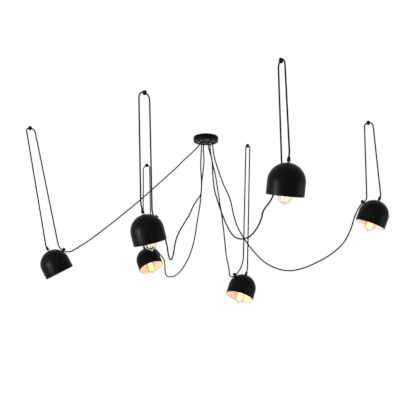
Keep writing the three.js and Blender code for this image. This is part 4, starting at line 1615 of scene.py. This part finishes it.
class CHANDELIER_OT_bulbs(Operator):
    """Clear bulbs, each with a caged filament, glass stem and screw cap"""

    bl_idname = "chandelier.bulbs"
    bl_label = "Bulbs"

    # The glass: the step along its outline, and the least radius of its inside's points.
    outline_step = 0.003
    least_radius = 0.0005
    stem_edge = 0.001

    # The filament's cage: how far below the neck it ends and starts, and its two radii.
    cage_foot = 0.096
    cage_top = 0.030
    cage_foot_radius = 0.0135
    cage_top_radius = 0.0115
    cage_step = 0.004

    # The cap: its tint, its lip at the glass, and its rolled thread.
    cap_tint = (0.62, 0.58, 0.50)
    cap_edge = 0.0006
    lip_share = 0.9
    lip_height = 0.001
    thread_depth = 0.0009
    thread_diameter = 0.0018
    thread_start = 0.0045
    unthreaded = 0.012
    turn_points = 36

    def execute(self, context):
        bulb = settings().bulb
        cap = self.cap()
        long_bulb = self.parts(BULB_OUTLINE_SHARES, bulb.diameter, bulb.glass_length)
        round_bulb = self.parts(ROUND_BULB_OUTLINE_SHARES, bulb.round_diameter, bulb.round_length)
        for number in LAMP_NUMBERS:
            lamp = Lamp(number)
            node = f"bulb_{number}"
            glass, stem, filament = round_bulb if number in ROUND_BULB_LAMPS else long_bulb
            envelope = put(
                f"bulb_glass_{number}", glass, lamp.lamp, lamp.body, [node]
            )
            envelope.visible_shadow = False
            envelope.visible_diffuse = False
            for name, mesh in (("stem", stem), ("filament", filament)):
                piece = put(f"bulb_{name}_{number}", mesh, lamp.lamp, lamp.body)
                piece.visible_diffuse = False
                piece.visible_glossy = False
            put(f"bulb_cap_{number}", cap, lamp.lamp, lamp.body)
        return {"FINISHED"}

    def parts(self, shares, diameter, length):
        """The glass, stem and filament of a bulb of one shape."""
        share = length / settings().bulb.glass_length
        return (
            self.envelope(shares, diameter, length),
            self.stem(share),
            self.filament(share),
        )

    def outline(self, shares, diameter, length, inset):
        """The glass profile from tip to neck, drawn in by a wall's thickness."""
        tip = lamp_levels()["bulb_neck"] - length
        points = [Vector((a * diameter / 2, tip + b * length)) for a, b in shares]
        spatial = [Vector((point.x, point.y, 0)) for point in points]
        fine = [Vector((p.x, p.y)) for p in smooth_path(spatial, self.outline_step)]
        if not inset:
            return [(max(p.x, 0), p.y) for p in fine]
        out = []
        for before, point, after in zip([fine[0], *fine], fine, [*fine[1:], fine[-1]]):
            along = (after - before).normalized()
            out.append((max(point.x - inset * along.y, 0), point.y + inset * along.x))
        return [(0, out[0][1])] + [(x, y) for x, y in out if x > self.least_radius]

    def envelope(self, shares, diameter, length):
        outer = self.outline(shares, diameter, length, 0)
        inner = self.outline(shares, diameter, length, settings().bulb.glass_wall)
        return turned("glass", outer + inner[::-1], bulb_glass(), segments=64)

    def stem(self, share):
        """The flared glass mount. share shortens it for a short bulb."""
        neck = lamp_levels()["bulb_neck"]
        profile = [(radius, neck + share * height) for radius, height in STEM_OUTLINE]
        return turned("stem", softened(profile, self.stem_edge), stem_glass(), segments=32)

    def filament(self, share):
        """One long wire that goes up and down round the stem as a cage."""
        bulb = settings().bulb
        neck = lamp_levels()["bulb_neck"]
        low, high = neck - share * self.cage_foot, neck - share * self.cage_top
        wide, narrow = self.cage_foot_radius, self.cage_top_radius
        path = []
        turns = bulb.filament_loops
        for index in range(turns):
            angle = 2 * math.pi * index / (turns + 1)
            half_way = angle + math.pi / (turns + 1)
            path.append(Vector((narrow * math.cos(angle), narrow * math.sin(angle), high)))
            path.append(Vector((wide * math.cos(half_way), wide * math.sin(half_way), low)))
        path = smooth_path(path, self.cage_step)
        return tube("filament", path, bulb.wire, lit_filament(), sides=6)

    def cap(self):
        """Nickel cap with a rolled thread, narrow at its contact."""
        bulb, levels = settings().bulb, lamp_levels()
        nickel = metal("nickel cap", self.cap_tint, 0.28)
        neck, top = levels["bulb_neck"], levels["bulb_top"]
        core = bulb.cap_diameter / 2 - self.thread_depth
        profile = [
            (0, neck),
            (self.lip_share * core, neck),
            (core, neck + self.lip_height),
            *((share * core, top - depth) for share, depth in CAP_END_OUTLINE),
            (0, top),
        ]
        shell = turned("cap", softened(profile, self.cap_edge), nickel, segments=48)
        pitch = (bulb.cap_length - self.unthreaded) / bulb.cap_turns
        path = []
        for index in range(bulb.cap_turns * self.turn_points + 1):
            angle = 2 * math.pi * index / self.turn_points
            level = neck + self.thread_start + pitch * index / self.turn_points
            path.append(Vector((core * math.cos(angle), core * math.sin(angle), level)))
        thread = tube("thread", path, self.thread_diameter, nickel, sides=8)
        return joined("cap", [shell, thread])


# Clamps and knobs

# The knob's rounded crown, as distances in from its core's edge and down from its top.
KNOB_CROWN_OUTLINE = [(0.0, 0.0026), (0.0010, 0.0012), (0.0026, 0.0003), (0.0040, 0.0)]


class CHANDELIER_OT_clamps(Operator):
    """Cord clamps on the shades' shoulders, with their fluted knobs"""

    bl_idname = "chandelier.clamps"
    bl_label = "Cord clamps"

    # The post: its rounded edges, the play round its cord and screw, and the rod that cuts its bore.
    post_edge = 0.0006
    cord_play = 0.00025
    screw_play = 0.0005
    bore_length = 0.03

    # The stud: room between shade and nut for the washer, the washer, and what shows past the nut.
    nut_room = 0.0014
    washer_thickness = 0.0008
    stud_tip = 0.0005

    # The knob: its rounded edges, its foot's bevel, and the flutes on its side.
    knob_edge = 0.0005
    foot_bevel = 0.001
    flute_radius = 0.0006
    flute_short = 0.0042
    flute_drop = 0.0007

    def execute(self, context):
        post, nut, knob = self.post(), self.stud_nut(), self.knob()
        for number in LAMP_NUMBERS:
            lamp = Lamp(number)
            node = f"cord_clamp_{number}"
            put(f"clamp_post_{number}", post, lamp.clamp, lamp.body, [node])
            put(f"clamp_nut_{number}", nut, lamp.clamp, lamp.body)
            node = f"clamp_knob_{number}"
            put(f"fluted_knob_{number}", knob, lamp.clamp, lamp.knob_body, [node])
        return {"FINISHED"}

    def post(self):
        clamp, cord, shade = settings().clamp, settings().cord, settings().shade
        stud = clamp.stud_diameter / 2
        stud_end = -shade.wall - self.nut_room - clamp.nut_thickness
        profile = [
            (0, stud_end),
            (stud, stud_end),
            (stud, FIT_GAP),
            (clamp.base_diameter / 2, FIT_GAP),
            (clamp.base_diameter / 2, clamp.base_thickness),
            (clamp.post_diameter / 2, clamp.base_thickness),
            (clamp.post_diameter / 2, clamp.post_height),
            (0, clamp.post_height),
        ]
        paint = black_paint()
        mesh = turned("post", softened(profile, self.post_edge), paint, segments=64)
        bore = moved(
            rod(cord.diameter / 2 + self.cord_play, self.bore_length, paint),
            Matrix.Translation((0, 0, clamp.cord_height)) @ Matrix.Rotation(math.pi / 2, 4, "Y"),
        )
        hole_length = clamp.post_height - clamp.cord_height
        hole = moved(
            rod(clamp.screw_diameter / 2 + self.screw_play, 2 * hole_length, paint),
            Matrix.Translation((0, 0, clamp.post_height)),
        )
        return cut(mesh, [bore, hole])

    def stud_nut(self):
        """The hexagon nut inside the shade, under a small washer."""
        clamp, shade = settings().clamp, settings().shade
        plating = zinc()
        top = -shade.wall - FIT_GAP
        foot = -shade.wall - self.nut_room - clamp.nut_thickness + self.stud_tip
        bore, corner = clamp.stud_diameter / 2, clamp.nut_diameter / 2
        nut_top = top - self.washer_thickness

        def ring(name, low, high, segments):
            profile = [(bore, low), (corner, low), (corner, high), (bore, high)]
            return turned(name, profile, plating, segments, closed=True)

        nut = ring("nut", foot, nut_top, 6)
        washer = ring("washer", nut_top, top, 48)
        return joined("stud nut", [nut, washer])

    def knob(self):
        clamp, cord = settings().clamp, settings().cord
        paint = black_paint()
        foot = clamp.post_height + FIT_GAP
        top = foot + clamp.knob_height
        radius = clamp.knob_diameter / 2
        core = radius - self.flute_radius
        screw = clamp.screw_diameter / 2
        tip = clamp.cord_height + cord.diameter / 2 + FIT_GAP
        profile = [
            (0, tip),
            (screw, tip),
            (screw, foot),
            (core - self.foot_bevel, foot),
            (core, foot + self.foot_bevel),
            *((core - inwards, top - down) for inwards, down in KNOB_CROWN_OUTLINE),
            (0, top),
        ]
        head = turned("knob", softened(profile, self.knob_edge), paint, segments=72)
        flute = rod(self.flute_radius, clamp.knob_height - self.flute_short, paint, segments=10)
        middle = (foot + top) / 2 - self.flute_drop
        flute = moved(flute, Matrix.Translation((0, 0, middle)))
        flutes = ring_of("flutes", flute, clamp.flutes, core, paint)
        return joined("knob", [head, flutes])


# Studio


class CHANDELIER_OT_studio(Operator):
    """Camera, soft lights, pale floor and white surroundings"""

    bl_idname = "chandelier.studio"
    bl_label = "Studio"

    sensor_width = 36
    view_end = 200
    floor_reach = 40
    # Each softbox's place, its width and height, and its power in watts. They all aim at one point.
    softboxes = {
        "key softbox": ((-2.35, -1.95, -1.3), (0.8, 1.2), 130),
        "edge softbox": ((3.4, -1.0, -1.5), (0.7, 1.6), 22),
    }
    softbox_aim = (0, 0, -0.6)
    # How bright the white surroundings are as a lamp, and what is added where they are seen.
    lamp_strength = 0.3
    seen_strength = 0.7

    def execute(self, context):
        studio = settings().studio
        camera = bpy.data.cameras.new("camera")
        camera.lens = studio.camera_lens
        camera.sensor_width = self.sensor_width
        camera.clip_end = self.view_end
        holder = bpy.data.objects.new("camera", camera)
        holder.location = studio.camera_place
        holder.rotation_euler = (math.radians(90) + studio.camera_pitch, 0, 0)
        context.scene.collection.objects.link(holder)
        context.scene.camera = holder
        context.scene.view_settings.view_transform = "Standard"
        for name, (place_at, dimensions, power) in self.softboxes.items():
            self.softbox(name, place_at, dimensions, power)
        self.surroundings(context)
        self.floor(studio.floor_level)
        return {"FINISHED"}

    def softbox(self, name, place_at, dimensions, power):
        light = bpy.data.lights.new(name, "AREA")
        light.shape = "RECTANGLE"
        light.size, light.size_y = dimensions
        light.energy = power
        holder = bpy.data.objects.new(name, light)
        holder.location = place_at
        aim = Vector(self.softbox_aim) - Vector(place_at)
        holder.rotation_euler = aim.to_track_quat("-Z", "Y").to_euler()
        bpy.context.scene.collection.objects.link(holder)

    def surroundings(self, context):
        """White to the camera, through glass and in reflections, and dimmer as a lamp."""
        world = bpy.data.worlds.new("studio")
        context.scene.world = world
        world.use_nodes = True
        world.node_tree.nodes.clear()
        tree = Tree(world.node_tree)
        white = seen_rays(tree)
        strength = self.lamp_strength + self.seen_strength * white
        light = tree.add("ShaderNodeBackground", None, {"Color": (1, 1, 1, 1), "Strength": strength})
        tree.add("ShaderNodeOutputWorld", None, {"Surface": light[0]})

    def floor(self, level):
        """A pale floor that keeps soft shadows and fades to white further out."""
        half = self.floor_reach
        corners = [
            (-half, -half, level),
            (half, -half, level),
            (half, half, level),
            (-half, half, level),
        ]
        material = bpy.data.materials.new("pale floor")
        material.use_nodes = True
        material.node_tree.nodes.clear()
        tree = Tree(material.node_tree)
        place_at = tree.add("ShaderNodeTexCoord")["Object"]
        distance = tree.add("ShaderNodeVectorMath", {"operation": "LENGTH"}, {0: place_at})[1]
        near = tree.add(
            "ShaderNodeMapRange",
            {"clamp": True},
            {"Value": distance, "From Min": 3.5, "From Max": 8, "To Min": 0.6, "To Max": 0},
        )[0]
        white = seen_rays(tree)
        matt = tree.add("ShaderNodeBsdfDiffuse", None, {"Color": (0.9, 0.9, 0.9, 1)})[0]
        bright = tree.add("ShaderNodeEmission", None, {"Color": (1, 1, 1, 1)})[0]
        share = white * (1 - near)
        mixed = tree.add("ShaderNodeMixShader", None, {0: share, 1: matt, 2: bright})[0]
        tree.add("ShaderNodeOutputMaterial", None, {"Surface": mixed})
        shown("floor", mesh_from("floor", corners, [(0, 1, 2, 3)], material))


# Sidebar


class CHANDELIER_PT_panel(Panel):
    """Sizes, finishes and the buttons that build each group of pieces"""

    bl_idname = "CHANDELIER_PT_panel"
    bl_label = "Swag chandelier"
    bl_space_type = "VIEW_3D"
    bl_region_type = "UI"
    bl_category = "Chandelier"

    def draw(self, context):
        chandelier = context.scene.chandelier
        for operator in OPERATORS:
            self.layout.operator(operator.bl_idname)
        for group in GROUPS:
            box = self.layout.box()
            box.label(text=group.capitalize())
            values = getattr(chandelier, group)
            for name in values.__annotations__:
                box.prop(values, name)


OPERATORS = [
    CHANDELIER_OT_studio,
    CHANDELIER_OT_cords,
    CHANDELIER_OT_canopy,
    CHANDELIER_OT_hooks,
    CHANDELIER_OT_shades,
    CHANDELIER_OT_grips,
    CHANDELIER_OT_holders,
    CHANDELIER_OT_bulbs,
    CHANDELIER_OT_clamps,
]
GROUPS = ["cord", "canopy", "hook", "shade", "grip", "holder", "bulb", "clamp", "finish", "studio"]
CLASSES = [
    CordSettings,
    CanopySettings,
    HookSettings,
    ShadeSettings,
    GripSettings,
    HolderSettings,
    BulbSettings,
    ClampSettings,
    FinishSettings,
    StudioSettings,
    ChandelierSettings,
    *OPERATORS,
    CHANDELIER_PT_panel,
]


def register():
    for one in CLASSES:
        bpy.utils.register_class(one)
    bpy.types.Scene.chandelier = PointerProperty(type=ChandelierSettings)


def unregister():
    del bpy.types.Scene.chandelier
    for one in reversed(CLASSES):
        bpy.utils.unregister_class(one)


def main():
    register()
    for operator in OPERATORS:
        group, name = operator.bl_idname.split(".")
        getattr(getattr(bpy.ops, group), name)()


if __name__ == "__main__":
    main()
